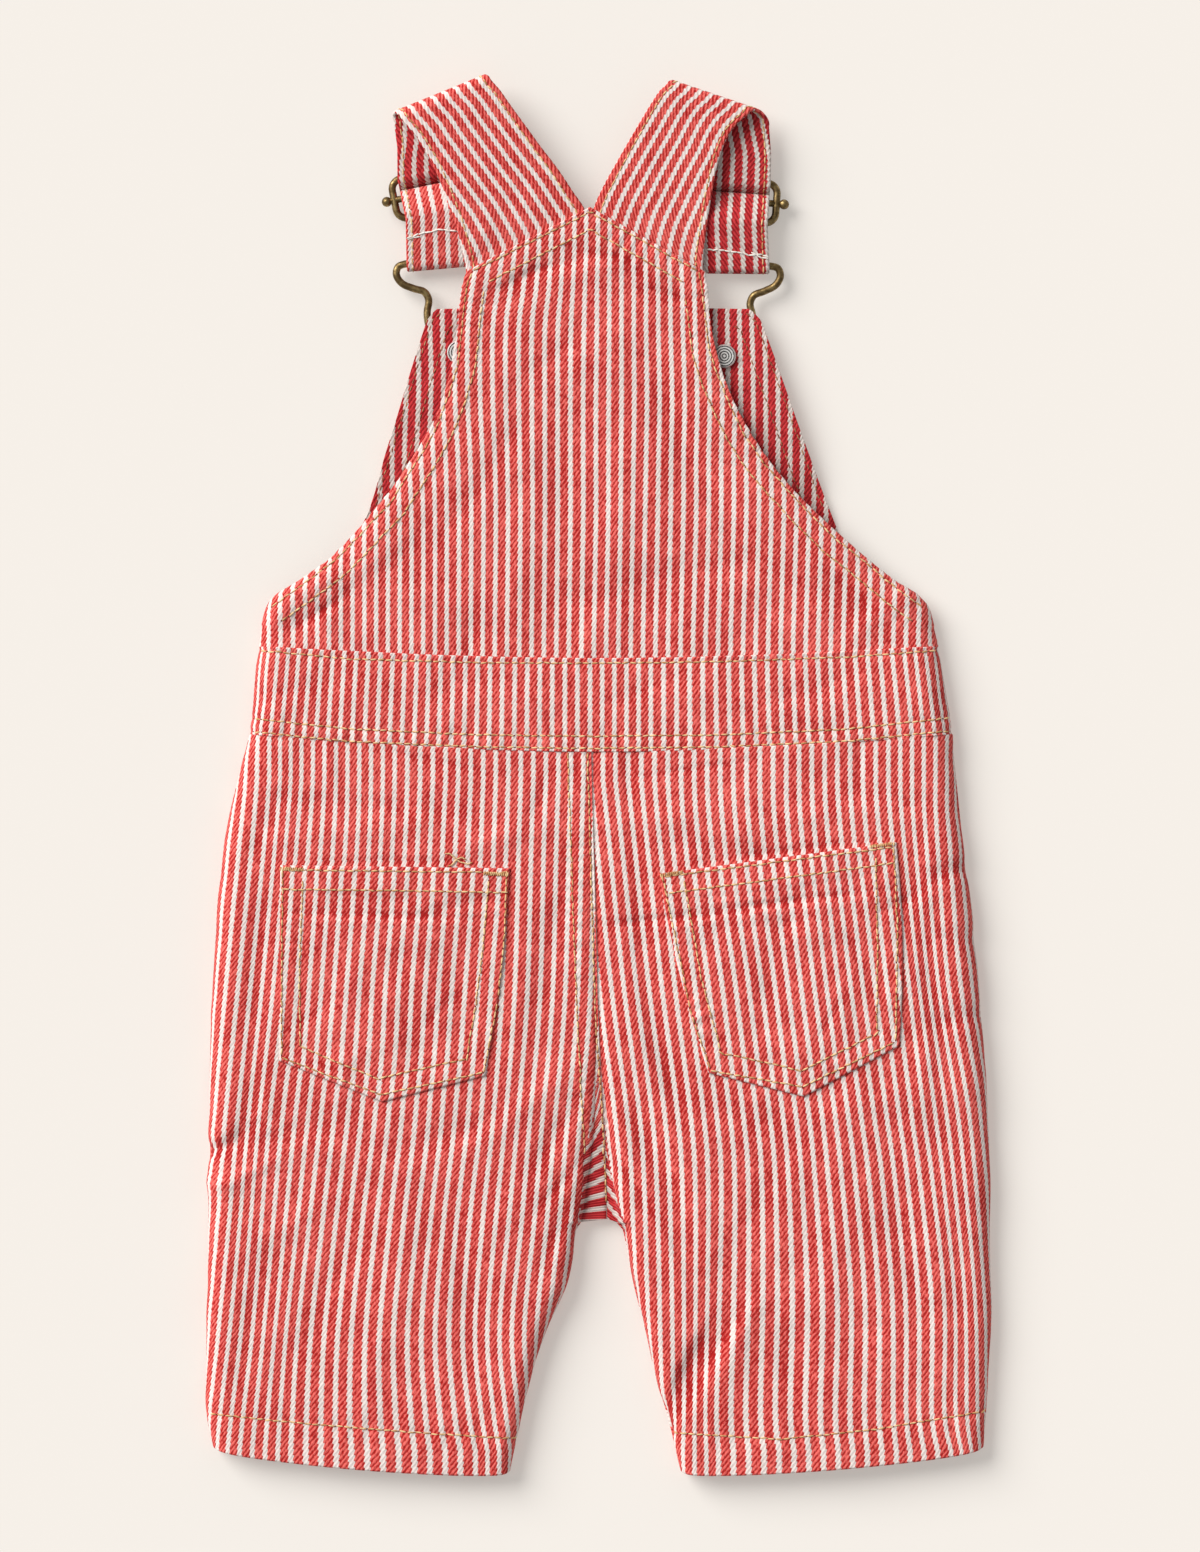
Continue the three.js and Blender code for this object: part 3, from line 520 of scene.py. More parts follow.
def sheet_area(grid):
    a = np.cross(grid[1:, :-1] - grid[:-1, :-1], grid[:-1, 1:] - grid[:-1, :-1])
    b = np.cross(grid[1:, :-1] - grid[1:, 1:], grid[:-1, 1:] - grid[1:, 1:])
    return float((np.linalg.norm(a, axis=-1) + np.linalg.norm(b, axis=-1)).sum() / 2) * MM**2


def declare(piece, node, grid=None, flat=None):
    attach(piece, "root")
    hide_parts(node)
    if grid is not None:
        area = min(sheet_area(grid), 0.999 * flat[0] * flat[1])


print("wall builder ready")

# %% [markdown]
# A panel is its sections plus its detail: folds move the whole wall up and down, and layers add cloth
# on the outside alone. The pattern is laid on by arc length, so that the stripes bunch where the cloth
# rolls down to a side, as they do on the real garment.

# %% Panels
def panel_grid(rows, zones, face):
    base, inward = section_grid(rows, zones, face)
    wall = np.array([row.get("wall", CLOTH) for row in rows])[:, None, None] + 0 * base[..., :1]
    step = np.hypot(np.diff(base[..., 0], axis=1), np.diff(base[..., 2], axis=1))
    arc = np.concatenate([np.zeros((len(rows), 1)), np.cumsum(step, axis=1)], 1)
    way = np.sign(base[:, -1:, 0] - base[:, :1, 0])
    start = base[:, zones[0], 0][:, None]
    flat_x = start + way * (arc - arc[:, zones[0]][:, None])
    full = np.concatenate([base, inward, wall, flat_x[..., None]], -1)
    return tighten(full)


# The number of the first stripe between the legs from which the valley gets the deeper red as painted shade
SHADED_FROM = {"back_left": 5, "back_right": -1}


def make_panel(name, rows, zones, face, stripes, folds, layers, gusset=None, troughs=()):
    """folds moves the whole wall, layers adds cloth on the outside alone."""
    full = panel_grid(rows, zones, face)
    base, inward, wall, flat_x = full[..., :3], full[..., 3:6], full[..., 6:7], full[..., 7]
    x, y = base[..., 0], base[..., 1]
    move = folds(x, y)[..., None]
    thick = layers(x, y)[..., None]
    outer = base - inward * (move + thick)
    inner = base + inward * (wall - move)
    other, cells, deep = None, None, None
    if gusset:
        other, inside = gusset(x, y)
        cells = inside[:-1, :-1] & inside[1:, 1:]
        # Painted shade: past this stripe the valley between the legs takes the deeper red
        deep = cells & (other[:-1, :-1] > SHADED_FROM[name])
    # marks is painted shade in the troughs of the creases
    numbers, marks = stripes(flat_x, y), painted_crease_shade(x, y, troughs)
    piece = wall_object(name + "_cloth", outer, inner, numbers, y / PITCH, other, cells, deep, marks)
    width = float(np.abs(flat_x[:, -1] - flat_x[:, 0]).max()) * MM
    length = float(y.max() - y.min()) * MM
    declare(piece, name, base, (width * 1.002, length * 1.002))
    print(name, "cut", round(width, 3), "by", round(length, 3), "m,", len(piece.data.polygons), "faces")
    return piece


print("panel builder ready")

# %% [markdown]
# The legs are cut wider than the waist and the cloth is pulled out of line there, so no plain formula
# gives the stripes. The tables say where some pale stripes lie on a few levels of the photograph, and
# the stripes between them are counted out evenly. What a pocket or a strap hides is an estimate.

# %% Stripe maps
# How many stripes past the last one that was read are counted on at the cloth's own pitch
BEYOND = 20


def stripe_map(indices, rows):
    """Stripe number at any place, from the photo x of a few stripes on a few levels."""
    keys = [str(i) for i in indices]
    levels = []
    for py, *stripes in rows:
        level = dict(zip(keys, [spot(px, 0)[0] for px in stripes]))
        levels.append({"y": spot(0, py)[1]} | level)
    dense = smooth_rows(levels, 3.0)
    heights = np.array([row["y"] for row in dense])
    numbers = np.array([indices[0] - BEYOND, *indices, indices[-1] + BEYOND], dtype=float)

    def places(row):
        own = [row[key] for key in keys]
        return np.array([own[0] - BEYOND * PITCH, *own, own[-1] + BEYOND * PITCH])

    lines = [places(row) for row in dense]

    def number(x, y):
        out = np.zeros_like(x)
        inside = np.clip(y, heights[-1] + 1e-6, heights[0])
        for i in range(len(lines) - 1):
            here = (inside <= heights[i]) & (inside > heights[i + 1])
            if here.any():
                k = (heights[i] - inside[here]) / (heights[i] - heights[i + 1])
                first = np.interp(x[here], lines[i], numbers)
                second = np.interp(x[here], lines[i + 1], numbers)
                out[here] = first + (second - first) * k
        return out

    return number


LEFT_MAP = stripe_map(
    [2, 5, 9, 13, 17, 21, 25],
    [
        (780, 270, 302, 348, 395, 446, 496, 546),
        (845, 265, 297, 346, 393, 443, 494, 544),
        (1000, 250, 284, 334, 384, 436, 489, 540),
        (1120, 238, 270, 321, 375, 429, 481, 530),
        (1220, 230, 262, 310, 363, 418, 470, 522),
        (1330, 219, 253, 298, 352, 408, 463, 512),
        (1410, 209, 244, 293, 350, 411, 469, 518),
        (1450, 204, 240, 291, 352, 415, 476, 523),
    ],
)
RIGHT_MAP = stripe_map(
    [3, 7, 11, 15, 19, 23, 27],
    [
        (780, 628, 681, 733, 786, 837, 888, 935),
        (830, 633, 684, 736, 788, 840, 891, 936),
        (980, 648, 700, 752, 804, 856, 908, 947),
        (1110, 664, 716, 769, 821, 873, 923, 968),
        (1180, 669, 721, 775, 828, 882, 932, 975),
        (1300, 672, 719, 777, 837, 892, 944, 985),
        (1410, 673, 716, 775, 835, 893, 944, 989),
        (1450, 671, 718, 779, 838, 896, 951, 991),
    ],
)
print("stripe maps ready")

# %% [markdown]
# The seat and legs are four panels: two behind, two in front. The back panels face up. Each runs from
# the side seam, over the slack cloth, to the seat seam, and below the crotch to its own inseam. The two
# tables are those of the CAD source, apart from the height of the top row, so the fine wall lies on the
# solid.

# %% Sections of the seat and legs
SEAT = table(
    "y yi bow left right seam crown valley flatL flatR roll",
    [
        (16.1, 9.6, -1.35, -132.7, 134.1, -2.8, 11.0, 10.6, 1.0, 1.0, 12),
        (-20.5, -21.5, -0.2, -141.7, 137.9, -2.1, 11.8, 11.4, 1.0, 1.0, 12),
        (-58.5, -58.5, 0, -145.5, 142.5, -1.0, 12.2, 11.6, 1.0, 1.0, 12),
        (-96.5, -96.5, 0, -147.8, 145.9, 0.0, 12.0, 10.8, 1.5, 1.0, 11),
        (-134.5, -134.5, 0, -148.2, 148.2, 2.0, 11.6, 7.5, 4.5, 1.5, 9),
        (-158.0, -158.0, 0, -148.4, 148.6, 2.8, 11.4, 5.4, 7.5, 2.6, 7),
        (-168.5, -168.5, 0, -148.6, 148.6, 3.0, 11.3, 4.6, 9.5, 3.6, 6),
    ],
)
LEGS = table(
    "y yi bow left right inL inR crown valley roll wall",
    [
        (-169.6, -169.6, 0, -148.6, 148.6, -6.8, 6.5, 11.3, 4.6, 6, 1.2),
        (-172.5, -172.5, 0, -148.6, 148.6, -8.7, 9.1, 11.3, 4.8, 6, 1.2),
        (-191.5, -191.5, 0, -148.6, 149.0, -11.8, 12.9, 11.1, 5.0, 7, 1.2),
        (-210.5, -210.5, 0, -149.3, 149.0, -19.8, 17.5, 11.0, 5.0, 7, 1.2),
        (-228.0, -231.0, -0.6, -149.3, 147.8, -27.0, 22.3, 10.8, 5.0, 7, 1.2),
        (-242.0, -249.0, -2.5, -149.0, 147.2, -31.0, 27.4, 10.6, 5.0, 6, 1.9),
        (-254.6, -263.8, -4.3, -146.8, 146.0, -33.9, 31.3, 10.2, 5.0, 6, 2.0),
    ],
)
FRONT_VALLEY = (0, 0, 0, 0, 0, 0.6, 1.8)


def body_rows(side, is_back, spacing):
    left = side == "left"
    common = {
        "first_z": SIDE_BACK if is_back else SIDE_FRONT,
        "first_roll": ROLL_BACK if is_back else ROLL_FRONT,
        "dome": 0.6 if is_back else 0.0,
    }
    seat = []
    for row, low in zip(SEAT, FRONT_VALLEY):
        made = {key: row[key] for key in ("y", "yi", "bow")} | common
        made["first_x"] = row["left"] if left else row["right"]
        made["last_x"] = row["seam"] + (-HALF_GAP if left else HALF_GAP)
        made["last_z"] = row["valley"] if is_back else low
        made["last_roll"] = row["roll"]
        made["crown"] = row["crown"] if is_back else 0.0
        made["flat"] = row["flatL"] if left else row["flatR"]
        made |= {"drop": 0.0, "wall": CLOTH, "power": 1.0}
        seat.append(made)
    legs = []
    for row in LEGS:
        made = {key: row[key] for key in ("y", "yi", "bow", "wall")} | common
        made["first_x"] = row["left"] if left else row["right"]
        made["last_x"] = row["inL"] if left else row["inR"]
        made["last_z"] = row["valley"] if is_back else row["valley"] - 2 * HALF_GAP
        made["last_roll"] = row["roll"] if is_back else row["roll"] - 1
        made["crown"] = row["crown"] if is_back else 0.0
        made |= {"flat": 0.0, "drop": 0.5 if is_back else -0.5, "power": 0.35}
        legs.append(made)
    rows = smooth_rows(seat, spacing) + smooth_rows(legs, spacing)
    for row in rows:
        row["power"] = np.clip(row["power"], 0.3, 1)
    return rows


print("the seat has", len(SEAT), "measured sections and the legs", len(LEGS))

# %% [markdown]
# Creases tell how a garment was worn. Long ones run down the legs, slanted ones pull from the pockets to
# the side seams, and short ones fan out above the crotch. Each was found in the photograph and is one
# row here. A few at the sides cross both layers, and the front, which is hidden, has some of its own.

# %% Creases of the seat and legs
# Photo place, direction, length, width and height of each crease, the last three in millimetres
SIDE_CREASES = [
    (228, 1147, 12, 14, 3, -0.8),
    (231, 1184, -8, 13, 3, 0.5),
    (952, 871, 10, 15, 3.5, -0.5),
    (960, 939, -6, 14, 3.5, -0.42),
    (960, 1018, 8, 16, 3.5, -0.42),
    (686, 1371, 62, 18, 3, -1.0),
]
BACK_CREASES = SIDE_CREASES + [
    (400, 861, 0, 34, 1.4, -0.3),
    (785, 851, 7.3, 34, 1.4, -0.35),
    (440, 762, -12, 22, 1.5, -0.25),
    (700, 768, 8, 18, 1.5, -0.25),
    (650, 920, 6, 16, 1.5, -0.5),
    (905, 900, 30, 12, 2.2, -0.35),
    (235, 1138, 30, 16, 2.4, -0.45),
    (250, 1172, 24, 14, 2.4, 0.4),
    (560, 1185, 48, 14, 2.2, -0.4),
    (640, 1195, 128, 16, 2.2, -0.45),
    (665, 1240, 112, 20, 2.6, 0.4),
    (720, 1345, 58, 26, 2.6, -0.45),
    (575, 770, 84, 10, 2.0, -0.3),
    (628, 775, 96, 12, 2.2, -0.3),
    (330, 762, 100, 9, 2.4, 0.3),
    (860, 760, 82, 9, 2.4, -0.3),
    # left seat, from the waistband down to the pocket
    (300, 800, -4, 26, 3.5, -0.35),
    (345, 832, 6, 30, 4, 0.35),
    (430, 810, -8, 24, 3.5, -0.3),
    (500, 838, 12, 26, 4, 0.35),
    (540, 800, 70, 12, 3, -0.3),
    (262, 835, 62, 14, 4, -0.45),
    (556, 930, 80, 34, 4, -0.35),
    (520, 990, 84, 30, 4, 0.3),
    (258, 960, 86, 30, 4, -0.4),
    (272, 1040, 82, 28, 4.5, 0.35),
    (250, 1110, 70, 16, 4, -0.5),
    (300, 1130, 20, 20, 5, -0.35),
    (360, 1160, -14, 28, 5, 0.4),
    (450, 1135, 16, 26, 4.5, -0.4),
    (520, 1110, 38, 24, 4.5, 0.45),
    (548, 1150, 60, 22, 4, -0.6),
    (525, 1190, 52, 26, 5, 0.4),
    # left leg
    (280, 1230, 30, 22, 5, 0.4),
    (330, 1290, 64, 30, 6, -0.4),
    (400, 1270, 82, 34, 6, 0.35),
    (470, 1300, 96, 36, 6, -0.4),
    (520, 1330, 100, 28, 5, 0.3),
    (250, 1330, 75, 26, 5, -0.35),
    (370, 1370, 80, 20, 5, 0.3),
    (560, 1230, 64, 18, 3.5, -0.5),
    # right seat
    (650, 820, 8, 26, 4, 0.3),
    (730, 850, -6, 30, 4, -0.35),
    (820, 815, 10, 26, 4, 0.3),
    (900, 800, -12, 20, 4, -0.4),
    (640, 900, 96, 28, 4, -0.35),
    (632, 990, 98, 26, 4, 0.3),
    (925, 900, 84, 26, 4, 0.4),
    (930, 980, 96, 28, 4, -0.45),
    (925, 1060, 84, 24, 4, 0.4),
    (670, 1080, 108, 24, 4, -0.5),
    (690, 1130, 128, 26, 5, 0.45),
    (650, 1150, 118, 24, 4, -0.6),
    (760, 1120, -12, 28, 4.5, -0.35),
    (850, 1110, 14, 26, 5, 0.35),
    (930, 1130, -30, 20, 5, -0.4),
    # right leg
    (700, 1220, 104, 26, 5, 0.4),
    (760, 1200, 60, 24, 5, -0.35),
    (830, 1260, 84, 38, 6, 0.35),
    (900, 1230, 100, 34, 6, -0.35),
    (740, 1330, 70, 24, 5, 0.45),
    (700, 1368, 62, 26, 3.5, -0.7),
    (790, 1370, 96, 22, 5, -0.3),
    (940, 1320, 92, 30, 5, 0.35),
    (880, 1370, 80, 18, 5, 0.25),
]
FRONT_CREASES = SIDE_CREASES + [
    (340, 1120, 24, 30, 5, 0.35),
    (450, 1160, -20, 30, 5, -0.35),
    (520, 1120, 40, 26, 5, 0.4),
    (700, 1140, -36, 28, 5, 0.4),
    (840, 1110, 14, 34, 6, -0.35),
    (350, 1300, 76, 34, 6, -0.35),
    (460, 1320, 98, 30, 6, 0.3),
    (800, 1300, 82, 36, 6, 0.3),
    (900, 1290, 100, 30, 6, -0.3),
    (600, 900, 88, 30, 5, 0.3),
]
print(len(BACK_CREASES), "creases behind and", len(FRONT_CREASES), "in front")

# %% [markdown]
# The seat seam is felled: one edge is folded over the other and sewn down twice, so it stands half a
# millimetre high on the left panel. Every row of stitches draws the cloth into small puckers and presses
# a groove along itself. The rows are lines of photo points, and the same lines carry the stitches later.

# %% Seams and hems
SEAT_SEAM = [(591.7, 735), (591.7, 752), (594, 850), (596.5, 931)]
SEAT_SEAM += [(599, 1027), (603.5, 1106), (606, 1163), (607, 1222)]
SEAT_ROW_FAR = [(567.8, 752), (574, 931), (578, 1027), (582, 1106), (585, 1154)]
SEAT_ROW_NEAR = [(587.6, 752), (592.7, 931), (595.9, 1027), (602, 1106), (603.5, 1138), (607, 1218)]
VALLEY_FOLD = [(583, 1128), (585, 1150), (586.5, 1175), (585.5, 1201), (581, 1217)]
HEM_LEFT = [(209.6, 1413), (300, 1422), (410, 1431), (518, 1438)]
HEM_RIGHT = [(672, 1432), (780, 1438), (870, 1429), (987, 1410)]


def back_folds(x, y):
    return (
        1.9 * creases(x, y, BACK_CREASES)
        + 0.4 * cloud(x, y, 17, 11)
        + 0.22 * cloud(x, y, 7.5, 12)
        + pucker(x, y, SEAT_ROW_NEAR, 4.6, 3.4, 0.34, 3)
        + pucker(x, y, SEAT_ROW_FAR, 5.4, 4.0, 0.36, 4)
        + pucker(x, y, HEM_LEFT, 6.0, 7.0, 0.3, 5)
        + pucker(x, y, HEM_RIGHT, 6.0, 7.0, 0.3, 6)
    )


def back_left_layers(x, y):
    felled = band(x, y, SEAT_SEAM, 9.6, 0.5)
    rows = groove(x, y, SEAT_ROW_FAR) + groove(x, y, SEAT_ROW_NEAR) + groove(x, y, HEM_LEFT)
    return felled + rows + groove(x, y, VALLEY_FOLD, 1.5, -0.5)


def back_right_layers(x, y):
    return groove(x, y, HEM_RIGHT) + groove(x, y, SEAT_SEAM, 1.6, -0.25)


print("seam and hem lines ready")

# %% [markdown]
# Between the legs the seat seam lies in a valley, and the stripes meet it slantwise from both sides, like
# the bones of a fish. A second count of stripes is worked out there from the heights at which each
# stripe meets the fold and the seam, and the panel changes over to it along the fold.

# %% Valley between the legs
# Photo y at which each stripe meets the fold, and the seam
FOLD_LEVELS = [1046, 1068, 1090, 1112, 1133, 1152, 1164, 1176, 1189, 1202, 1212, 1222, 1234]
SEAM_LEVELS = [966, 996, 1026, 1056, 1086, 1115, 1145, 1161, 1177, 1193, 1208, 1222, 1236]


BEFORE_FIRST = -2.0


def gusset_left(x, y):
    """Stripe count in the valley's left half, and where that half is."""
    px, py = photo_x(x), photo_y(y)
    fold = np.interp(py, [1074, 1120, 1154, 1218], [599, 590, 584, 580])
    seam = np.interp(py, [1060, 1106, 1163, 1222], [601.5, 603.5, 606, 607])
    k = np.clip((px - fold) / (seam - fold + 1e-6), -0.5, 1.2)
    number = np.full(x.shape, BEFORE_FIRST)
    for i in range(len(FOLD_LEVELS) - 1):
        a = FOLD_LEVELS[i] + (SEAM_LEVELS[i] - FOLD_LEVELS[i]) * k
        b = FOLD_LEVELS[i + 1] + (SEAM_LEVELS[i + 1] - FOLD_LEVELS[i + 1]) * k
        number = np.where(py >= a, i + (py - a) / (b - a), number)
    return number, (px > fold) & (py > 1070)


def gusset_right(x, y):
    """The same for the right half, whose stripes all climb alike."""
    px, py = photo_x(x), photo_y(y)
    fold = np.interp(py, [1110, 1130, 1164, 1200, 1221], [603, 605, 609, 617, 625])
    return (py - 1.3 * (px - 605) - 1169) / 16.1, (px < fold) & (py > 1112)


print("valley ready")

# %% [markdown]
# With its sections, creases, seams and stripes at hand, each back panel is one call. The rows are a
# little over a millimetre apart, which is fine enough for the narrowest trough.

# %% Back panels
BODY_ZONES = (12, 106, 12, 6)
BACK_SPACING = 1.15
BACK_SIDES = (
    ("left", LEFT_MAP, back_left_layers, gusset_left),
    ("right", RIGHT_MAP, back_right_layers, gusset_right),
)
for side, stripes, layers, gusset in BACK_SIDES:
    make_panel(
        "back_" + side,
        body_rows(side, True, BACK_SPACING),
        BODY_ZONES,
        1,
        stripes,
        back_folds,
        layers,
        gusset,
        BACK_CREASES,
    )

# %% [markdown]
# The front panels lie underneath and rest on the floor. The photograph doesn't show them, so they repeat
# the outline of the back, with gentler creases and a hem, and with fewer points.

# %% Front panels
FRONT_SPACING = 2.6
FRONT_ZONES = (7, 46, 7, 4)


def front_folds(x, y):
    return creases(x, y, FRONT_CREASES) * 0.8 + 0.15 * cloud(x, y, 15, 21)


def front_layers(x, y):
    return groove(x, y, HEM_LEFT, 1.0, -0.2) + groove(x, y, HEM_RIGHT, 1.0, -0.2)


for side, stripes in (("left", LEFT_MAP), ("right", RIGHT_MAP)):
    make_panel(
        "front_" + side,
        body_rows(side, False, FRONT_SPACING),
        FRONT_ZONES,
        -1,
        stripes,
        front_folds,
        front_layers,
    )

# %% [markdown]
# The waistband is a wider, thicker strip that closes over the tops of the legs and the foot of the bib.
# It is two layers of cloth folded in at both long edges, so it stands a little higher than its
# neighbours and its edges are stitched down.

# %% Waistband
WAIST = table(
    "y bow left right crown",
    [(49.4, -4.6, -129.4, 129.0, 11.2), (33.0, -5.5, -131.2, 131.9, 11.6), (15.6, -6.5, -132.7, 134.1, 11.8)],
)


def wide_rows(rows, spacing, **fixed):
    out = []
    for row in smooth_rows(rows, spacing):
        made = dict(row) | {"first_x": row["left"], "last_x": row["right"]} | fixed
        if "edge" in row:
            made |= {"first_z": row["edge"], "last_z": row["edge"]}
            made |= {"first_roll": row["roll"], "last_roll": row["roll"]}
        made["last_z"] = made["first_z"]
        out.append({"flat": 0.0, "drop": 0.0} | made)
    return out


def upright(phase, pitch=12.5):
    """Stripes that run straight up the photograph, counted from its x = 595."""

    def number(x, y):
        return (x / PHOTO_MM + 599 - 595) / pitch + phase + 0.12 * cloud(x, y, 30, 5)

    return number


# Photo x of some stripes across the band at mid height, and the number of each
BAND_STRIPES = (
    (237, 256, 264, 296, 343, 392, 440, 590, 651, 703, 754, 806, 857, 907, 940, 960),
    (-29.8, -28, -27, -24, -20, -16, -12, 0, 5, 9, 13, 17, 21, 25, 28, 30),
)


def band_stripes(x, y):
    """Counts the stripes at mid height, and lets them lean outwards near the sides, as the edges do."""
    from_middle = x / 133
    lean = 0.11 * (y - 33) * from_middle * abs(from_middle)
    return np.interp((x + lean) / PHOTO_MM + 599, *BAND_STRIPES) + 0.06 * cloud(x, y, 30, 5)


BAND_TOP_ROW = [(252, 650), (350, 659), (480, 663), (590, 663.5), (720, 662), (850, 657), (952, 650)]
BAND_MID_ROW = [(246, 718), (350, 729), (480, 735), (590, 736.5), (720, 735), (850, 729), (958, 717)]
BAND_LOW_ROW = [(246, 731), (350, 741.5), (480, 747), (590, 748.5), (720, 747), (850, 741), (958, 730)]
BAND_CREASES = [
    (300, 690, 14, 20, 4, -0.3),
    (370, 700, -30, 14, 4, 0.3),
    (450, 690, 10, 24, 4.5, -0.25),
    (540, 705, -16, 18, 4, 0.3),
    (640, 690, 20, 18, 4, -0.3),
    (720, 700, -10, 24, 4.5, 0.3),
    (810, 690, 18, 20, 4, -0.3),
    (900, 700, -24, 16, 4, 0.3),
    (262, 705, 80, 8, 3, -0.4),
    (940, 700, 100, 8, 3, -0.4),
]


def band_folds(x, y):
    return (
        1.8 * creases(x, y, BAND_CREASES)
        + 0.28 * cloud(x, y, 13, 31)
        + 0.16 * cloud(x, y, 6, 32)
        + pucker(x, y, BAND_TOP_ROW, 4.4, 3.6, 0.4, 33)
        + pucker(x, y, BAND_MID_ROW, 5.0, 4.2, 0.4, 34)
        + pucker(x, y, BAND_LOW_ROW, 4.6, 3.4, 0.4, 35)
    )


def band_layers(x, y):
    return groove(x, y, BAND_TOP_ROW) + groove(x, y, BAND_MID_ROW) + groove(x, y, BAND_LOW_ROW)


make_panel(
    "waistband_back",
    wide_rows(WAIST, 1.0, first_z=SIDE_BACK, first_roll=ROLL_BACK, last_roll=ROLL_BACK, wall=BAND),
    (10, 230, 10, 0),
    1,
    band_stripes,
    band_folds,
    band_layers,
    troughs=BAND_CREASES,
)
make_panel(
    "waistband_front",
    wide_rows(
        WAIST,
        2.0,
        first_z=SIDE_FRONT,
        first_roll=ROLL_FRONT,
        last_roll=ROLL_FRONT,
        crown=0.0,
        wall=BAND,
    ),
    (6, 110, 6, 0),
    -1,
    upright(0.1),
    lambda x, y: 0.5 * band_folds(x, y),
    band_layers,
)

# %% [markdown]
# The back bib narrows upward from the waist along two scooped armholes to a point between the straps.
# Its free edges are turned under and stitched twice, which leaves a raised hem about nine millimetres
# wide. The front bib lies under it and shows past its edges.

# %% Bibs
BACK_BIB = table(
    "y bow left right edge crown roll peak lean",
    [
        (191.5, 0, -50.2, 39.9, 12.0, 12.8, 8, 24.3, 1.75),
        (182.0, 0, -52.6, 41.4, 12.0, 12.8, 8, 21.0, 1.4),
        (166.1, 0, -54.3, 43.4, 12.0, 12.6, 10, 15.0, 0.9),
        (150.0, 0, -57.2, 47.9, 11.8, 12.4, 12, 9.0, 0.5),
        (133.8, 0, -63.1, 55.2, 11.0, 12.0, 15, 4.0, 0.2),
        (115.1, 0, -74.3, 68.2, 9.6, 11.6, 18, 0, 0),
        (99.2, 0, -86.3, 83.0, 8.6, 11.3, 20, 0, 0),
        (84.0, 0, -100.7, 100.3, 7.6, 11.0, 20, 0, 0),
        (74.5, 0, -113.2, 112.0, 6.4, 10.8, 14, 0, 0),
        (65.7, -0.8, -125.4, 123.9, 5.0, 10.7, 9, 0, 0),
        (48.9, -4.6, -129.3, 128.9, 5.0, 10.5, 9, 0, 0),
    ],
)
FRONT_BIB = table(
    "y bow left right edge crown roll",
    [
        (177.4, 0.6, -61.5, 57.0, 6.8, 6.8, 4),
        (173.6, 0.2, -65.0, 61.2, 6.7, 6.6, 4),
        (163.8, 0, -68.4, 65.0, 6.6, 6.6, 4),
        (149.0, 0, -73.0, 70.3, 6.6, 6.6, 4),
        (135.3, 0, -77.1, 75.1, 6.0, 6.0, 4),
        (120.8, 0, -81.7, 80.4, 4.2, 4.2, 4),
        (103.0, 0, -87.0, 87.2, 1.7, 1.6, 4),
        (88.0, 0, -94.6, 94.0, 0.6, 0.2, 5),
        (76.4, 0, -106.0, 105.0, 1.2, 0, 7),
        (68.8, 0, -117.4, 116.2, 3.0, 0, 7),
        (64.6, 0, -125.4, 123.9, SIDE_FRONT, 0, ROLL_FRONT),
        (48.9, -4.6, -129.3, 128.9, SIDE_FRONT, 0.1, ROLL_FRONT),
    ],
)
BIB_LEFT_EDGE = [(467, 272), (462, 288), (459, 309), (456, 339)]
BIB_LEFT_EDGE += [(453, 365), (445, 392), (433, 424), (419, 450)]
BIB_LEFT_EDGE += [(403.5, 473), (386, 501), (372, 515), (358, 530), (334, 555), (301, 580), (269, 603)]
BIB_RIGHT_EDGE = [(704, 272), (708, 297), (711, 321), (714, 349), (722.6, 375), (734, 403), (748.5, 432)]
BIB_RIGHT_EDGE += [(767.4, 460), (786, 481), (810, 507), (836, 533), (866.5, 557), (900, 585), (925, 603)]
BIB_POINT = [(467, 272), (590, 208), (704, 272)]
BIB_CREASES = [
    (320, 613, 33, 9.5, 1.8, -0.5),
    (352, 575, 40, 16, 3.0, 0.25),
    (430, 520, 52, 16, 2.6, -0.15),
    (523, 279, 27, 12, 1.7, -0.45),
    (560, 266, 14, 9, 1.6, -0.45),
    (608, 257, -10, 12, 1.6, -0.45),
    (634, 270, -32, 6, 1.6, -0.4),
    (664, 296, -17, 10, 1.7, -0.45),
    (590, 640, 88, 10, 2.6, 0.3),
    (470, 640, 84, 9, 2.4, -0.3),
    (850, 590, -44, 18, 2.4, -0.4),
    (345, 590, -62, 14, 3, -0.35),
    (325, 625, -58, 16, 4, 0.45),
    (300, 620, 30, 12, 3.5, -0.4),
    (400, 560, 34, 28, 4.5, -0.2),
    (430, 600, -12, 28, 5, 0.35),
    (470, 500, 56, 34, 5, -0.35),
    (520, 560, 82, 30, 6, 0.35),
    (590, 600, 4, 34, 5, -0.3),
    (560, 470, 92, 34, 6, -0.3),
    (620, 520, 86, 34, 6, 0.35),
    (690, 570, 8, 30, 5, -0.35),
    (700, 470, -58, 34, 5, -0.35),
    (770, 540, -46, 28, 5, 0.4),
    (830, 600, -28, 22, 4.5, -0.45),
    (880, 615, 40, 14, 4, 0.4),
    (500, 400, 74, 28, 5, 0.3),
    (560, 350, 40, 22, 5, -0.25),
    (640, 340, -30, 24, 5, 0.3),
    (670, 410, -72, 28, 5, -0.3),
    (600, 270, 10, 18, 4, 0.3),
    (520, 290, 28, 18, 4, -0.3),
    (660, 290, -28, 18, 4, -0.3),
]


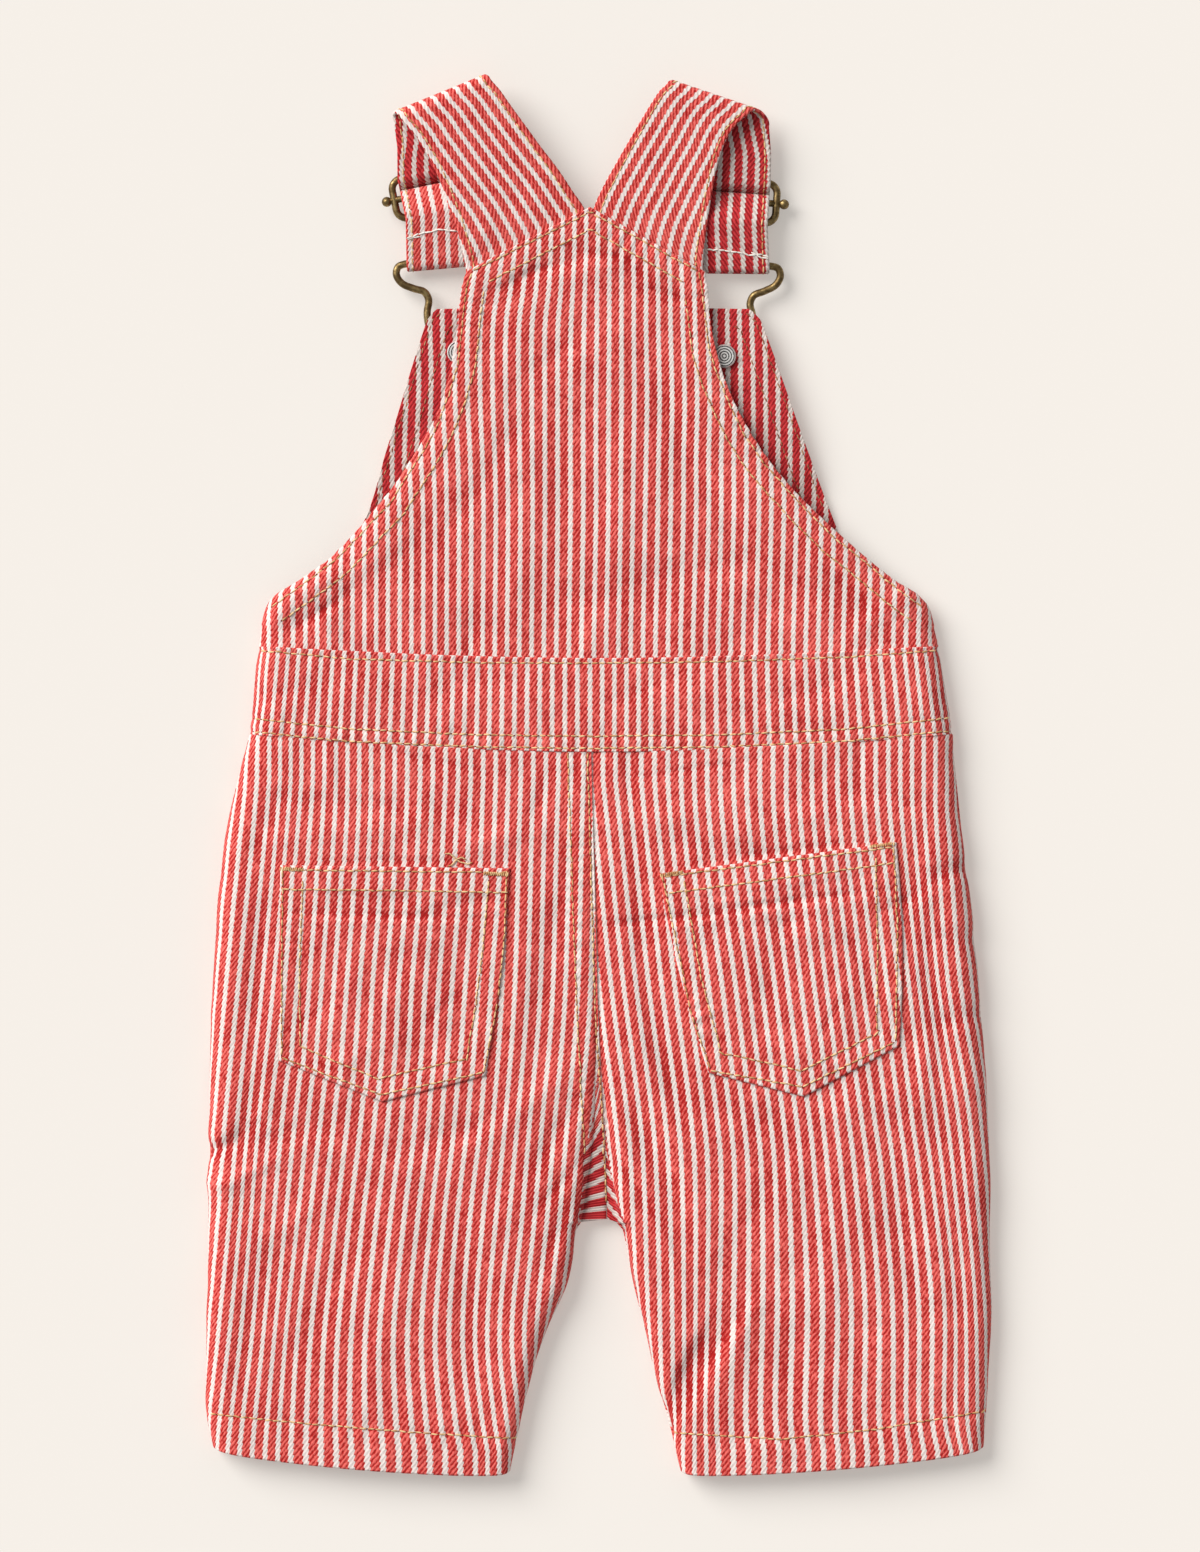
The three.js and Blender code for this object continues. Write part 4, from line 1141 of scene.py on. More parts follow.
def inset(line, distance):
    """A line beside another, distance in millimetres to its right."""
    points = np.array(line, dtype=float)
    run = np.gradient(points, axis=0)
    run /= np.linalg.norm(run, axis=1)[:, None]
    return [tuple(p) for p in points + np.stack([-run[:, 1], run[:, 0]], 1) * distance / PHOTO_MM]


BIB_ROWS = [
    inset(BIB_LEFT_EDGE, -2.0),
    inset(BIB_LEFT_EDGE[1:], -8.6),
    inset(BIB_RIGHT_EDGE, 2.0),
    inset(BIB_RIGHT_EDGE[1:], 8.6),
    [(474, 272), (590, 213.5), (697, 272)],
    [(489, 283), (590, 231), (683, 283)],
]


def bib_folds(x, y):
    total = 1.9 * creases(x, y, BIB_CREASES) + 0.4 * cloud(x, y, 17, 41) + 0.2 * cloud(x, y, 7, 42)
    for number, row in enumerate(BIB_ROWS):
        total = total + pucker(x, y, row, 4.6 + 0.3 * (number % 3), 3.8, 0.38, 43 + number)
    return total + pucker(x, y, [(252, 646), (590, 658), (952, 646)], 7.0, 5.0, 0.2, 55)


def bib_layers(x, y):
    hem = np.maximum(band(x, y, BIB_LEFT_EDGE, 9.4, 0.35, 1.2), band(x, y, BIB_RIGHT_EDGE, 9.4, 0.35, 1.2))
    total = np.maximum(hem, band(x, y, BIB_POINT, 9.4, 0.5))
    for row in BIB_ROWS:
        total = total + groove(x, y, row)
    return total


BIB_MAP = stripe_map(
    [-24, -16, -12, -8, -4, 0, 4, 8],
    [
        (250, 311, 407, 455, 503, 551, 598, 645, 692),
        (290, 300, 398, 447, 498, 549, 597, 646, 694),
        (330, 300, 394, 443, 493, 545, 597, 646, 695),
        (400, 300, 394, 443, 493, 545, 596, 647, 697),
        (460, 302, 397, 446, 495, 545, 596, 646, 696),
        (520, 305, 400, 447, 496, 545, 596, 645, 696),
        (637, 306, 400, 447, 495, 544, 594, 643, 693),
    ],
)


bib_rows = wide_rows(BACK_BIB, 1.15)
bib_zones = (12, 170, 12, 0)
make_panel(
    "back_bib",
    bib_rows,
    bib_zones,
    1,
    BIB_MAP,
    bib_folds,
    bib_layers,
    troughs=BIB_CREASES,
)

FRONT_EDGE_LEFT = [(437, 309), (428, 319), (419, 345), (407, 384), (396, 420), (384, 458), (370, 505)]
FRONT_EDGE_RIGHT = [(749, 309), (760, 319), (770, 345), (784, 384), (797, 420), (810.6, 458), (828, 505)]
FRONT_ROWS = [
    [(440, 313), (590, 315), (746, 313)],
    [(433, 335), (590, 337), (754, 335)],
    inset(FRONT_EDGE_LEFT, -2.0),
    inset(FRONT_EDGE_LEFT, -8.6),
    inset(FRONT_EDGE_RIGHT, 2.0),
    inset(FRONT_EDGE_RIGHT, 8.6),
]


FRONT_FACING = [(433, 335), (590, 337), (754, 335)]


def front_bib_folds(x, y):
    ridges = -pucker(x, y, FRONT_ROWS[2], 5.0, 5.0, 0.3, 63) - pucker(x, y, FRONT_ROWS[4], 5.0, 5.0, 0.3, 64)
    return ridges + 0.45 * cloud(x, y, 12, 61) + 0.25 * cloud(x, y, 6, 62) - groove(x, y, FRONT_FACING, 0.8)


def front_bib_layers(x, y):
    total = 0 * x
    for row in FRONT_ROWS:
        total = total + groove(x, y, row, 0.9, -0.2)
    return total


make_panel(
    "front_bib",
    wide_rows(FRONT_BIB, 1.6),
    (5, 90, 5, 0),
    -1,
    upright(0.3, 12.4),
    front_bib_folds,
    front_bib_layers,
)

# %% [markdown]
# The patch pockets are single layers laid on the seat, with a doubled hem along the top and a point at
# the bottom. Each takes the height of the panel under it, plus a little slack in the middle.

# %% Pockets
POCKETS = table(
    "name topX topY farX farY farLowX farLowY lowX lowY point bowNear bowFar lean",
    [
        ("pocket_left", -120.8, -33.8, -33.8, -35.0, -43.1, -113.6, -121.2, -107.9, 12.8, 0, 1.4, -0.07),
        ("pocket_right", 22.6, -37.1, 112.9, -25.1, 114.0, -102.2, 41.4, -112.5, 14.2, -1.5, 1.7, 0.12),
    ],
)


# Photo x of three places across each pocket, and the stripe number there
POCKET_STRIPES = {
    "pocket_left": ((260, 335, 520), (-27.12, -21, -6.88)),
    "pocket_right": ((640, 812.5, 920), (3.98, 17, 25.88)),
}


def surface_height(side, x, y):
    rows = body_rows(side, True, 6)
    base, _ = section_grid(rows, BODY_ZONES, 1)
    height = np.zeros_like(x)
    order = np.argsort(base[0, :, 0])
    levels = base[:, BODY_ZONES[0] + 26, 1]
    for j in range(len(rows) - 1):
        here = (y <= levels[j]) & (y > levels[j + 1])
        if here.any():
            k = (levels[j] - y[here]) / (levels[j] - levels[j + 1])
            first = np.interp(x[here], base[j, order, 0], base[j, order, 2])
            second = np.interp(x[here], base[j + 1, order, 0], base[j + 1, order, 2])
            height[here] = first + (second - first) * k
    return height + back_folds(x, y)


def make_pocket(row):
    side = "left" if row["name"].endswith("left") else "right"
    u, v = np.meshgrid(np.linspace(0, 1, 92), np.linspace(0, 1, 94))

    def mix(a, b, k):
        return a + (b - a) * k

    bulge = np.sin(math.pi * v) * mix(row["bowNear"], row["bowFar"], u)
    x = mix(mix(row["topX"], row["farX"], u), mix(row["lowX"], row["farLowX"], u), v) + bulge
    top = mix(row["topY"], row["farY"], u)
    low = mix(row["lowY"], row["farLowY"], u) - row["point"] * (1 - np.abs(2 * u - 1))
    y = mix(top, low, v)
    slack = np.sin(math.pi * u) * np.sin(math.pi * np.minimum(1, 0.25 + 0.75 * v))
    grid = tighten(np.stack([x, y, slack, v], -1))
    x, y, slack, v = (grid[..., i] for i in range(4))
    sides = [grid[:, 0], grid[:, -1], grid[-1], grid[0]]
    lines = [[(p[0] / PHOTO_MM + 599, 776 - p[1] / PHOTO_MM) for p in line[::4]] for line in sides]
    hem = np.clip((0.125 - v) / 0.012 + 0.5, 0, 1) * 0.35
    doubled = np.maximum(np.maximum(band(x, y, lines[0], 6.4, 0.3), band(x, y, lines[1], 6.4, 0.3)), hem)
    doubled = np.maximum(doubled, band(x, y, lines[2], 6.4, 0.3))
    move = 0.3 * cloud(x, y, 14, 71) + 0.18 * cloud(x, y, 6.5, 72) + 1.6 * creases(x, y, POCKET_CREASES)
    for number, line in enumerate(lines):
        move = move + pucker(x, y, line, 5.0, 4.5, 0.3, 73 + number)
    below = surface_height(side, x, y)
    lift = -0.2 + 1.0 * slack + np.maximum(move, -0.7 * slack)
    inner = np.stack([x, y, below + lift], -1)
    outer = inner + np.stack([0 * x, 0 * x, 0.9 + doubled], -1)
    stripe = np.interp((x + row["lean"] * (y + 75)) / PHOTO_MM + 599, *POCKET_STRIPES[row["name"]])
    stripe = stripe + 0.06 * cloud(x, y, 26, 7)
    # Painted shade in the troughs of the pocket's creases
    marks = painted_crease_shade(x, y, POCKET_CREASES)
    piece = wall_object(row["name"] + "_cloth", outer, inner, stripe, y / PITCH, marks=marks)
    flat = ((x.max() - x.min()) * MM, (y.max() - y.min()) * MM)
    declare(piece, row["name"], outer, flat)
    print(row["name"], "cut", [round(float(value), 3) for value in flat], len(piece.data.polygons), "faces")
    return piece


POCKET_CREASES = [
    (388, 915, -2, 36, 1.3, -0.45),
    (388, 923, -2, 34, 1.5, 0.22),
    (440, 1010, 40, 14, 1.8, -0.25),
    (830, 1018, 58, 12, 1.8, -0.25),
    (752, 906, 7.5, 40, 1.3, -0.6),
    (756, 916, 7.5, 38, 2.4, 0.3),
    (715, 1040, 10, 12, 1.6, -0.4),
    (700, 1015, 20, 12, 1.8, 0.35),
    (860, 960, -60, 14, 2.2, -0.3),
    (300, 1020, 30, 12, 2.0, -0.3),
    (330, 1066, -14, 16, 1.8, -0.35),
    (460, 905, 12, 18, 2.2, -0.3),
    (360, 905, 4, 26, 4, -0.3),
    (420, 940, -10, 26, 5, 0.35),
    (350, 980, 70, 24, 5, 0.3),
    (410, 1010, 100, 24, 5, -0.3),
    (370, 1050, 20, 16, 4, 0.3),
    (730, 920, -6, 26, 4, -0.3),
    (820, 930, 12, 26, 5, 0.35),
    (770, 980, 74, 26, 5, -0.3),
    (840, 1000, 98, 24, 5, 0.3),
    (790, 1050, -16, 16, 4, 0.3),
]
for row in POCKETS:
    make_pocket(row)

# %% [markdown]
# Each strap comes from under the bib's point, folds over at the shoulder, threads the slider, goes round
# the hook's bar and comes back up through the slider. Its path is worked out in the plane of the
# buckle: a band pulled tight round each rod in turn. The stripes run along it.

# %% Straps
WIRE = 1.4
ROD_CLEARANCE = 0.3
WIRE_Z = 4.85
HOOK_Z = 4.8
RAIL_OFFSET = 7.6
FRAME_HALF = 20.4
KNOB_AT = 23.3
STRAP_HALF = 17.6
BUCKLES = table(
    "name barX barY barTurn hookX hookY hookTurn buttonX buttonY",
    [
        ("left", -57.8, 222.9, 11.5, -55.6, 196.2, 5.0, -53.2, 160.9),
        ("right", 47.1, 219.0, -4.2, 47.2, 194.0, -0.6, 47.6, 159.4),
    ],
)
UPPER = {
    "left": [
        (-50.2, 184.7, 9.7, -4.2, 208.2, 10.6),
        (-50.6, 193.4, 10.0, -5.4, 215.0, 10.9),
        (-52.0, 200.3, 11.3, -9.7, 221.5, 11.6),
        (-54.4, 209.4, 12.4, -15.6, 230.3, 12.4),
        (-57.2, 217.7, 13.0, -22.0, 238.6, 13.0),
        (-60.6, 226.3, 13.5, -28.0, 246.8, 13.5),
        (-64.6, 234.8, 14.0, -33.7, 254.6, 14.0),
        (-69.6, 243.0, 14.4, -37.8, 260.4, 14.4),
    ],
    "right": [
        (39.6, 184.7, 9.7, -2.8, 208.2, 10.6),
        (39.5, 194.6, 10.0, -2.0, 215.4, 10.9),
        (40.3, 203.3, 11.3, 1.6, 223.6, 11.6),
        (41.6, 213.2, 12.4, 6.6, 232.6, 12.4),
        (43.2, 223.1, 13.0, 11.4, 240.9, 13.0),
        (45.4, 233.4, 13.5, 16.4, 249.4, 13.5),
        (48.6, 242.0, 14.0, 20.6, 256.2, 14.0),
        (52.6, 247.4, 14.4, 23.4, 260.2, 14.4),
    ],
}
FOLD = {
    "left": ((-74.6, 248.6, -40.8, 263.7), (-78.0, 248.9, -42.8, 261.7), (-76.6, 238.8, -42.4, 247.8)),
    "right": ((56.8, 251.0, 25.4, 261.8), (64.6, 246.6, 29.8, 258.0), (65.4, 235.6, 30.8, 242.0)),
}
FOLD_RADIUS = 3.1
FOLD_Z = 11.4


def band_path(stops, step):
    """A band pulled round rods: (down, z, radius, turn), turn 1 anticlockwise and -1 clockwise."""
    angles = []
    for a, b in zip(stops[:-1], stops[1:]):
        dx, dz = b[0] - a[0], b[1] - a[1]
        lean = math.asin((a[3] * a[2] - b[3] * b[2]) / math.hypot(dx, dz))
        angles.append(math.atan2(dz, dx) + lean - math.pi / 2)
    points = []
    for i, (down, z, radius, turn) in enumerate(stops):
        if not radius:
            points.append((down, z))
            continue
        base = 0 if turn > 0 else math.pi
        start, stop = angles[i - 1] + base, angles[i] + base
        while turn > 0 and stop < start - 1e-6:
            stop += 2 * math.pi
        while turn < 0 and stop > start + 1e-6:
            stop -= 2 * math.pi
        steps = max(2, math.ceil(abs(stop - start) / step))
        for s in range(steps + 1):
            angle = start + (stop - start) * s / steps
            points.append((down + radius * math.cos(angle), z + radius * math.sin(angle)))
    return points


def plane_point(x, y, turn, across, down, z):
    angle = math.radians(turn)
    px = x + across * math.cos(angle) + down * math.sin(angle)
    return np.array([px, y + across * math.sin(angle) - down * math.cos(angle), z])


def strap_stations(name):
    buckle = next(row for row in BUCKLES if row["name"] == name)
    stations = [(np.array(row[:3]), np.array(row[3:])) for row in UPPER[name]]
    top, low, under = (np.array(edge) for edge in FOLD[name])
    crest = (top[2:] - top[:2]) / np.linalg.norm(top[2:] - top[:2])
    away = np.array([-crest[1], crest[0]]) * (1 if name == "left" else -1)
    for s in range(13):
        angle = math.pi / 2 - math.pi * s / 12
        k = (1 - math.sin(angle)) / 2
        out = FOLD_RADIUS * math.cos(angle)
        z = FOLD_Z + FOLD_RADIUS * math.sin(angle)
        ends = top + (low - top) * k
        stations.append(tuple(np.array([*(ends[i : i + 2] + away * out), z]) for i in (0, 2)))
    stations.append((np.array([under[0], under[1], 7.9]), np.array([under[2], under[3], 7.9])))
    reach = math.hypot(buckle["hookX"] - buckle["barX"], buckle["hookY"] - buckle["barY"])
    ply = STRAP + ROD_CLEARANCE
    snug = WIRE + ROD_CLEARANCE + STRAP / 2
    stops = [
        (-RAIL_OFFSET - 8, 7.6, 0, 1),
        (-RAIL_OFFSET, WIRE_Z, snug, -1),
        (0, WIRE_Z, snug + ply, 1),
        (RAIL_OFFSET, WIRE_Z, snug, -1),
        (reach, HOOK_Z, snug, 1),
        (RAIL_OFFSET, WIRE_Z, snug + 2 * ply, 1),
        (0, WIRE_Z, snug, 1),
        (RAIL_OFFSET, WIRE_Z, snug + ply, -1),
        (reach - 7, 6.3, 0, 1),
    ]
    outward = -1 if name == "left" else 1
    slider = (buckle["barX"], buckle["barY"], buckle["barTurn"])
    hook = (buckle["hookX"], buckle["hookY"], buckle["hookTurn"])
    for down, z in band_path(stops, 0.3)[1:]:
        w = min(max((down - RAIL_OFFSET - 2.5) / (reach - 3.5 - RAIL_OFFSET - 2.5), 0), 1)
        w = w * w * (3 - 2 * w)
        edges = []
        for across in (outward * STRAP_HALF, -outward * STRAP_HALF):
            first = plane_point(*slider, across, down, z)
            edges.append(first + (plane_point(*hook, across, down - reach, z) - first) * w)
        stations.append(tuple(edges))
    return stations


def dense_stations(stations, spacing):
    """Splits long stretches so that the ribbon's points lie about evenly."""
    out = []
    for i, (a, b) in enumerate(zip(stations[:-1], stations[1:])):
        far = max(np.linalg.norm(b[0] - a[0]), np.linalg.norm(b[1] - a[1]))
        steps = max(1, round(far / spacing))
        before, after = stations[max(i - 1, 0)], stations[min(i + 2, len(stations) - 1)]
        eased = i < 7
        for s in range(steps):
            k = s / steps
            edges = []
            for e in (0, 1):
                straight = a[e] + (b[e] - a[e]) * k
                if eased:
                    m, n = (b[e] - before[e]) / 2, (after[e] - a[e]) / 2
                    straight = (2 * k**3 - 3 * k**2 + 1) * a[e] + (k**3 - 2 * k**2 + k) * m
                    straight = straight + (3 * k**2 - 2 * k**3) * b[e] + (k**3 - k**2) * n
                edges.append(straight)
            out.append(tuple(edges))
    return out + [stations[-1]]


STRAP_CREASES = {
    "left": [(430, 250, 70, 14, 3, -0.25), (480, 240, 60, 16, 3, 0.3), (520, 190, 56, 16, 3.5, -0.25)],
    "right": [(690, 250, 112, 14, 3, -0.3), (650, 180, 120, 18, 3.5, 0.3), (700, 140, 118, 14, 3, -0.25)],
}


# Stripe number at the straight inner edge, where the strap is wide and where it runs into the buckle,
# and the count of stripes across the strap at a few heights in millimetres
STRAP_PHASES = {"left": (0.80, 1.04), "right": (0.81, 1.31)}
STRAP_COUNTS = {
    "left": ((201, 210, 219, 228, 237, 246), (10.1, 9.85, 9.4, 8.85, 8.35, 8.0)),
    "right": ((200, 213, 232, 241, 250), (9.9, 9.6, 8.4, 7.75, 7.6)),
}


def make_strap(name):
    stations = dense_stations(strap_stations(name), 1.2)
    first = np.array([s[0] for s in stations])
    last = np.array([s[1] for s in stations])
    middle = (first + last) / 2
    run = np.gradient(middle, axis=0)
    run /= np.linalg.norm(run, axis=1)[:, None]
    side = last - first
    wide = np.linalg.norm(side, axis=1)
    side /= wide[:, None]
    up = np.cross(side, run)
    up /= np.linalg.norm(up, axis=1)[:, None]
    k = np.linspace(0, 1, 33)[None, :, None]
    grid = first[:, None] + (last - first)[:, None] * k
    along = np.concatenate([[0], np.cumsum(np.linalg.norm(np.diff(middle, axis=0), axis=1))])
    lengths = along
    crest = int(np.argmax(middle[:, 1]))
    counts = np.interp(middle[:, 1], *STRAP_COUNTS[name])
    beyond = np.clip((lengths[crest:] - lengths[crest]) / 25, 0, 1)
    counts[crest:] = counts[crest] + (7.4 - counts[crest]) * beyond
    ups = np.broadcast_to(up[:, None], grid.shape)
    full = np.concatenate([grid, ups, np.broadcast_to(k, grid.shape[:2] + (1,))], -1)
    full = np.concatenate([full, np.broadcast_to(along[:, None, None], grid.shape[:2] + (1,))], -1)
    full = tighten(full, 0.5)
    points, ups, k, along = full[..., :3], full[..., 3:6], full[..., 6], full[..., 7]
    free = np.clip(1 - (along - 60) / 12, 0, 1)
    x, y = points[..., 0], points[..., 1]
    gather = 0.10 * np.sin(2 * math.pi * along / 4.8 + 2 * cloud(along, k * 9, 12, 81))
    rows = np.exp(-(((k * 35 - 2.3) / 2.2) ** 2)) + np.exp(-(((k * 35 - 32.7) / 2.2) ** 2))
    wave = free * (creases(x, y, STRAP_CREASES[name]) + 0.2 * cloud(x, y, 13, 82))
    wave = wave + gather * rows * (0.4 + 0.6 * free)
    dent = 0.16 * (np.exp(-(((k * 35 - 2.3) / 0.6) ** 2)) + np.exp(-(((k * 35 - 32.7) / 0.6) ** 2)))
    sign = 1 if np.cross(last[0] - first[0], run[0])[2] > 0 else -1
    half = STRAP / 2
    outer = points + ups * sign * (half + wave - dent)[..., None]
    inner = points - ups * sign * (half - wave - dent)[..., None]
    gathered = np.clip((along - lengths[crest]) / 25, 0, 1)
    wide_phase, narrow_phase = STRAP_PHASES[name]
    number = wide_phase + (narrow_phase - wide_phase) * gathered
    number = number - (1 - k) * np.interp(along[:, 0], lengths, counts)[:, None]
    piece = wall_object("strap_" + name + "_cloth", outer, inner, number, along / PITCH)
    # Painted shade: past the crest the right strap's turned end gets the deeper red, for the shadow of the
    # strap above it
    if name == "right":
        past_crest = (lengths[crest] + 14) / PITCH
        lengthwise = piece.data.uv_layers["cloth"].data
        for face in piece.data.polygons:
            if lengthwise[face.loop_start].uv[1] > past_crest:
                face.material_index = 1
    flat = (float(wide.max()) * 1.002 * MM, float(along.max()) * 1.002 * MM)
    declare(piece, "strap_" + name, points, flat)
    print("strap_" + name, "cut", [round(v, 3) for v in flat], len(piece.data.polygons), "faces")
    return stations, up * sign


STRAP_LINES = {name: make_strap(name) for name in ("left", "right")}

# %% [markdown]
# The wire parts are antique brass: a dark brown coat that has rubbed through to yellow metal on the
# bends. The tack backs of the buttons are plain steel with fine turned rings, and the floors of the
# rings are painted near black as shade.

# %% Metals
def antique_brass():
    n = Nodes("antique_brass")
    place = n.add("ShaderNodeTexCoord").outputs["Object"]
    coat = n.noise(place, 260.0, 4.0, 0.6)
    worn = n.noise(place, 900.0, 3.0, 0.6)
    bright = n.ramp(n.math("ADD", n.math("MULTIPLY", coat, 0.7), n.math("MULTIPLY", worn, 0.3)), 0.42, 0.66)
    n.put(n.mix(bright, (0.13, 0.085, 0.035, 1), (0.42, 0.30, 0.13, 1)), n.bsdf.inputs["Base Color"])
    n.put(n.ramp(bright, 0.0, 1.0, 0.5, 0.3), n.bsdf.inputs["Roughness"])
    bump = n.add("ShaderNodeBump")
    bump.inputs["Strength"].default_value = 0.3
    bump.inputs["Distance"].default_value = 0.0001
    n.put(worn, bump.inputs["Height"])
    n.put(bump.outputs[0], n.bsdf.inputs["Normal"])
    n.bsdf.inputs["Metallic"].default_value = 1.0
    return n.material


def turned_steel(name, dark, light):
    n = Nodes(name)
    place = n.add("ShaderNodeTexCoord").outputs["Object"]
    spots = n.noise(place, 1100.0, 3.0, 0.6)
    n.put(n.mix(spots, dark, light), n.bsdf.inputs["Base Color"])
    n.put(n.ramp(spots, 0.3, 0.7, 0.38, 0.55), n.bsdf.inputs["Roughness"])
    n.bsdf.inputs["Metallic"].default_value = 0.5
    return n.material


brass = antique_brass()
steel = turned_steel("turned_steel", (0.60, 0.59, 0.57, 1), (0.82, 0.80, 0.77, 1))
# Painted shade: a near-black steel for the floors of the turned rings
ring_shade_steel = turned_steel("ring_shade_steel", (0.06, 0.06, 0.06, 1), (0.12, 0.12, 0.12, 1))
print("made", brass.name, "and", steel.name)

# %% [markdown]
# Slider and hook are bent from round wire, so each is a closed line with a round section, turned into
# a mesh. The slider's cross bar is peened over outside the frame, where its ends show as two knobs.

# %% Wire parts
HOOK_WIRE = [(10, 0), (18.2, 0), (20.9, 0.9), (21.8, 3.8)]
HOOK_WIRE += [(20.0, 7.2), (15.6, 9.6), (11.8, 11.2), (10.4, 14.4)]
HOOK_WIRE += [(11.4, 19), (11.2, 24), (9.4, 29), (6.6, 34), (4.4, 37.6), (1.6, 39.8)]


def closed_curve(points, steps):
    """Eases a closed line through its points, with centripetal spacing so that bends stay round."""
    points = [np.array(p, dtype=float) for p in points]
    out = []
    count = len(points)
    for i in range(count):
        a, b, c, d = (points[(i + j - 1) % count] for j in range(4))
        t1 = np.linalg.norm(b - a) ** 0.5
        t2 = t1 + np.linalg.norm(c - b) ** 0.5
        t3 = t2 + np.linalg.norm(d - c) ** 0.5
        for s in range(steps):
            t = t1 + (t2 - t1) * s / steps
            p = a * (t1 - t) / t1 + b * t / t1
            q = b * (t2 - t) / (t2 - t1) + c * (t - t1) / (t2 - t1)
            r = c * (t3 - t) / (t3 - t2) + d * (t - t2) / (t3 - t2)
            u = p * (t2 - t) / t2 + q * t / t2
            v = q * (t3 - t) / (t3 - t1) + r * (t - t1) / (t3 - t1)
            out.append(u * (t2 - t) / (t2 - t1) + v * (t - t1) / (t2 - t1))
    return out


def bend_wire(name, points, radius):
    bpy.ops.object.select_all(action="DESELECT")
    bpy.ops.curve.primitive_bezier_circle_add(location=(0, 0, 0))
    wire = bpy.context.object
    wire.name = name
    wire.data.splines.clear()
    spline = wire.data.splines.new("POLY")
    spline.points.add(len(points) - 1)
    for point, place in zip(spline.points, points):
        point.co = (*[float(v) * MM for v in place], 1)
    spline.use_cyclic_u = True
    wire.data.dimensions = "3D"
    wire.data.bevel_depth = radius * MM
    wire.data.bevel_resolution = 3
    bpy.ops.object.convert(target="MESH")
    bpy.ops.object.shade_smooth()
    wire = bpy.context.object
    wire.data.materials.clear()
    wire.data.materials.append(brass)
    return wire


def slider_outline(place):
    w, h, r = FRAME_HALF, RAIL_OFFSET, 4.0
    points = []
    arcs = ((w - r, -h + r, -90), (w - r, h - r, 0), (-w + r, h - r, 90), (-w + r, -h + r, 180))
    for cx, cy, start in arcs:
        for s in range(9):
            angle = math.radians(start + s * 11.25)
            points.append(place(cx + r * math.cos(angle), cy + r * math.sin(angle)))
    return points


def make_slider(row):
    def place(across, down):
        return plane_point(row["barX"], row["barY"], row["barTurn"], across, down, WIRE_Z)

    frame_wire = bend_wire("slider_" + row["name"] + "_wire", slider_outline(place), WIRE)
    middle = place(0, 0)
    angle = math.radians(row["barTurn"])
    bpy.ops.mesh.primitive_cylinder_add(
        vertices=16,
        radius=(WIRE - 0.1) * MM,
        depth=2 * KNOB_AT * MM,
        location=[float(v) * MM for v in middle],
        rotation=(0, math.pi / 2, angle),
    )
    parts = [bpy.context.object]
    for across in (-KNOB_AT, KNOB_AT):
        bpy.ops.mesh.primitive_uv_sphere_add(
            segments=16, ring_count=10, radius=1.95 * MM, location=[float(v) * MM for v in place(across, 0)]
        )
        parts.append(bpy.context.object)
    bpy.ops.object.select_all(action="DESELECT")
    for part in [*parts, frame_wire]:
        part.select_set(True)
        part.data.materials.clear()
        part.data.materials.append(brass)
    bpy.context.view_layer.objects.active = frame_wire
    bpy.ops.object.join()
    bpy.ops.object.shade_smooth()
    frame_wire.data.transform(frame_wire.matrix_world)
    frame_wire.matrix_world.identity()
    declare(frame_wire, "slider_" + row["name"])
    return frame_wire


def make_hook(row):
    half = [(a, d) for a, d in HOOK_WIRE] + [(-a, d) for a, d in reversed(HOOK_WIRE)]
    points = [plane_point(row["hookX"], row["hookY"], row["hookTurn"], a, d, HOOK_Z) for a, d in half]
    wire = bend_wire("hook_" + row["name"] + "_wire", closed_curve(points, 5), WIRE)
    declare(wire, "hook_" + row["name"])
    return wire


for row in BUCKLES:
    print("bent", make_slider(row).name, "and", make_hook(row).name)

# %% [markdown]
# A dungaree button is a domed head with a shank, held through the bib by a tack. From behind only the
# tack's round back shows, and its face is turned in fine rings. The head is underneath, on the floor.

# %% Tack buttons
def faces_up(mesh_object, up):
    """Selects the round end face that looks straight up (1) or down (-1)."""
    bpy.ops.object.mode_set(mode="OBJECT")
    mesh = mesh_object.data
    for part in (mesh.vertices, mesh.edges, mesh.polygons):
        part.foreach_set("select", [False] * len(part))
    for face in mesh.polygons:
        face.select = face.normal.z * up > 0.9 and len(face.vertices) > 4
    bpy.ops.object.mode_set(mode="EDIT")


def step_up(tack, narrow, rise, up=1):
    """Insets the end face by one amount and moves it out by another, in millimetres."""
    faces_up(tack, up)
    if narrow > 0:
        bpy.ops.mesh.inset(thickness=narrow * MM, depth=0)
    else:
        bpy.ops.mesh.extrude_region_move()
        bpy.ops.transform.resize(value=(1 - narrow, 1 - narrow, 1))
    if rise:
        bpy.ops.transform.translate(value=(0, 0, rise * up * MM))


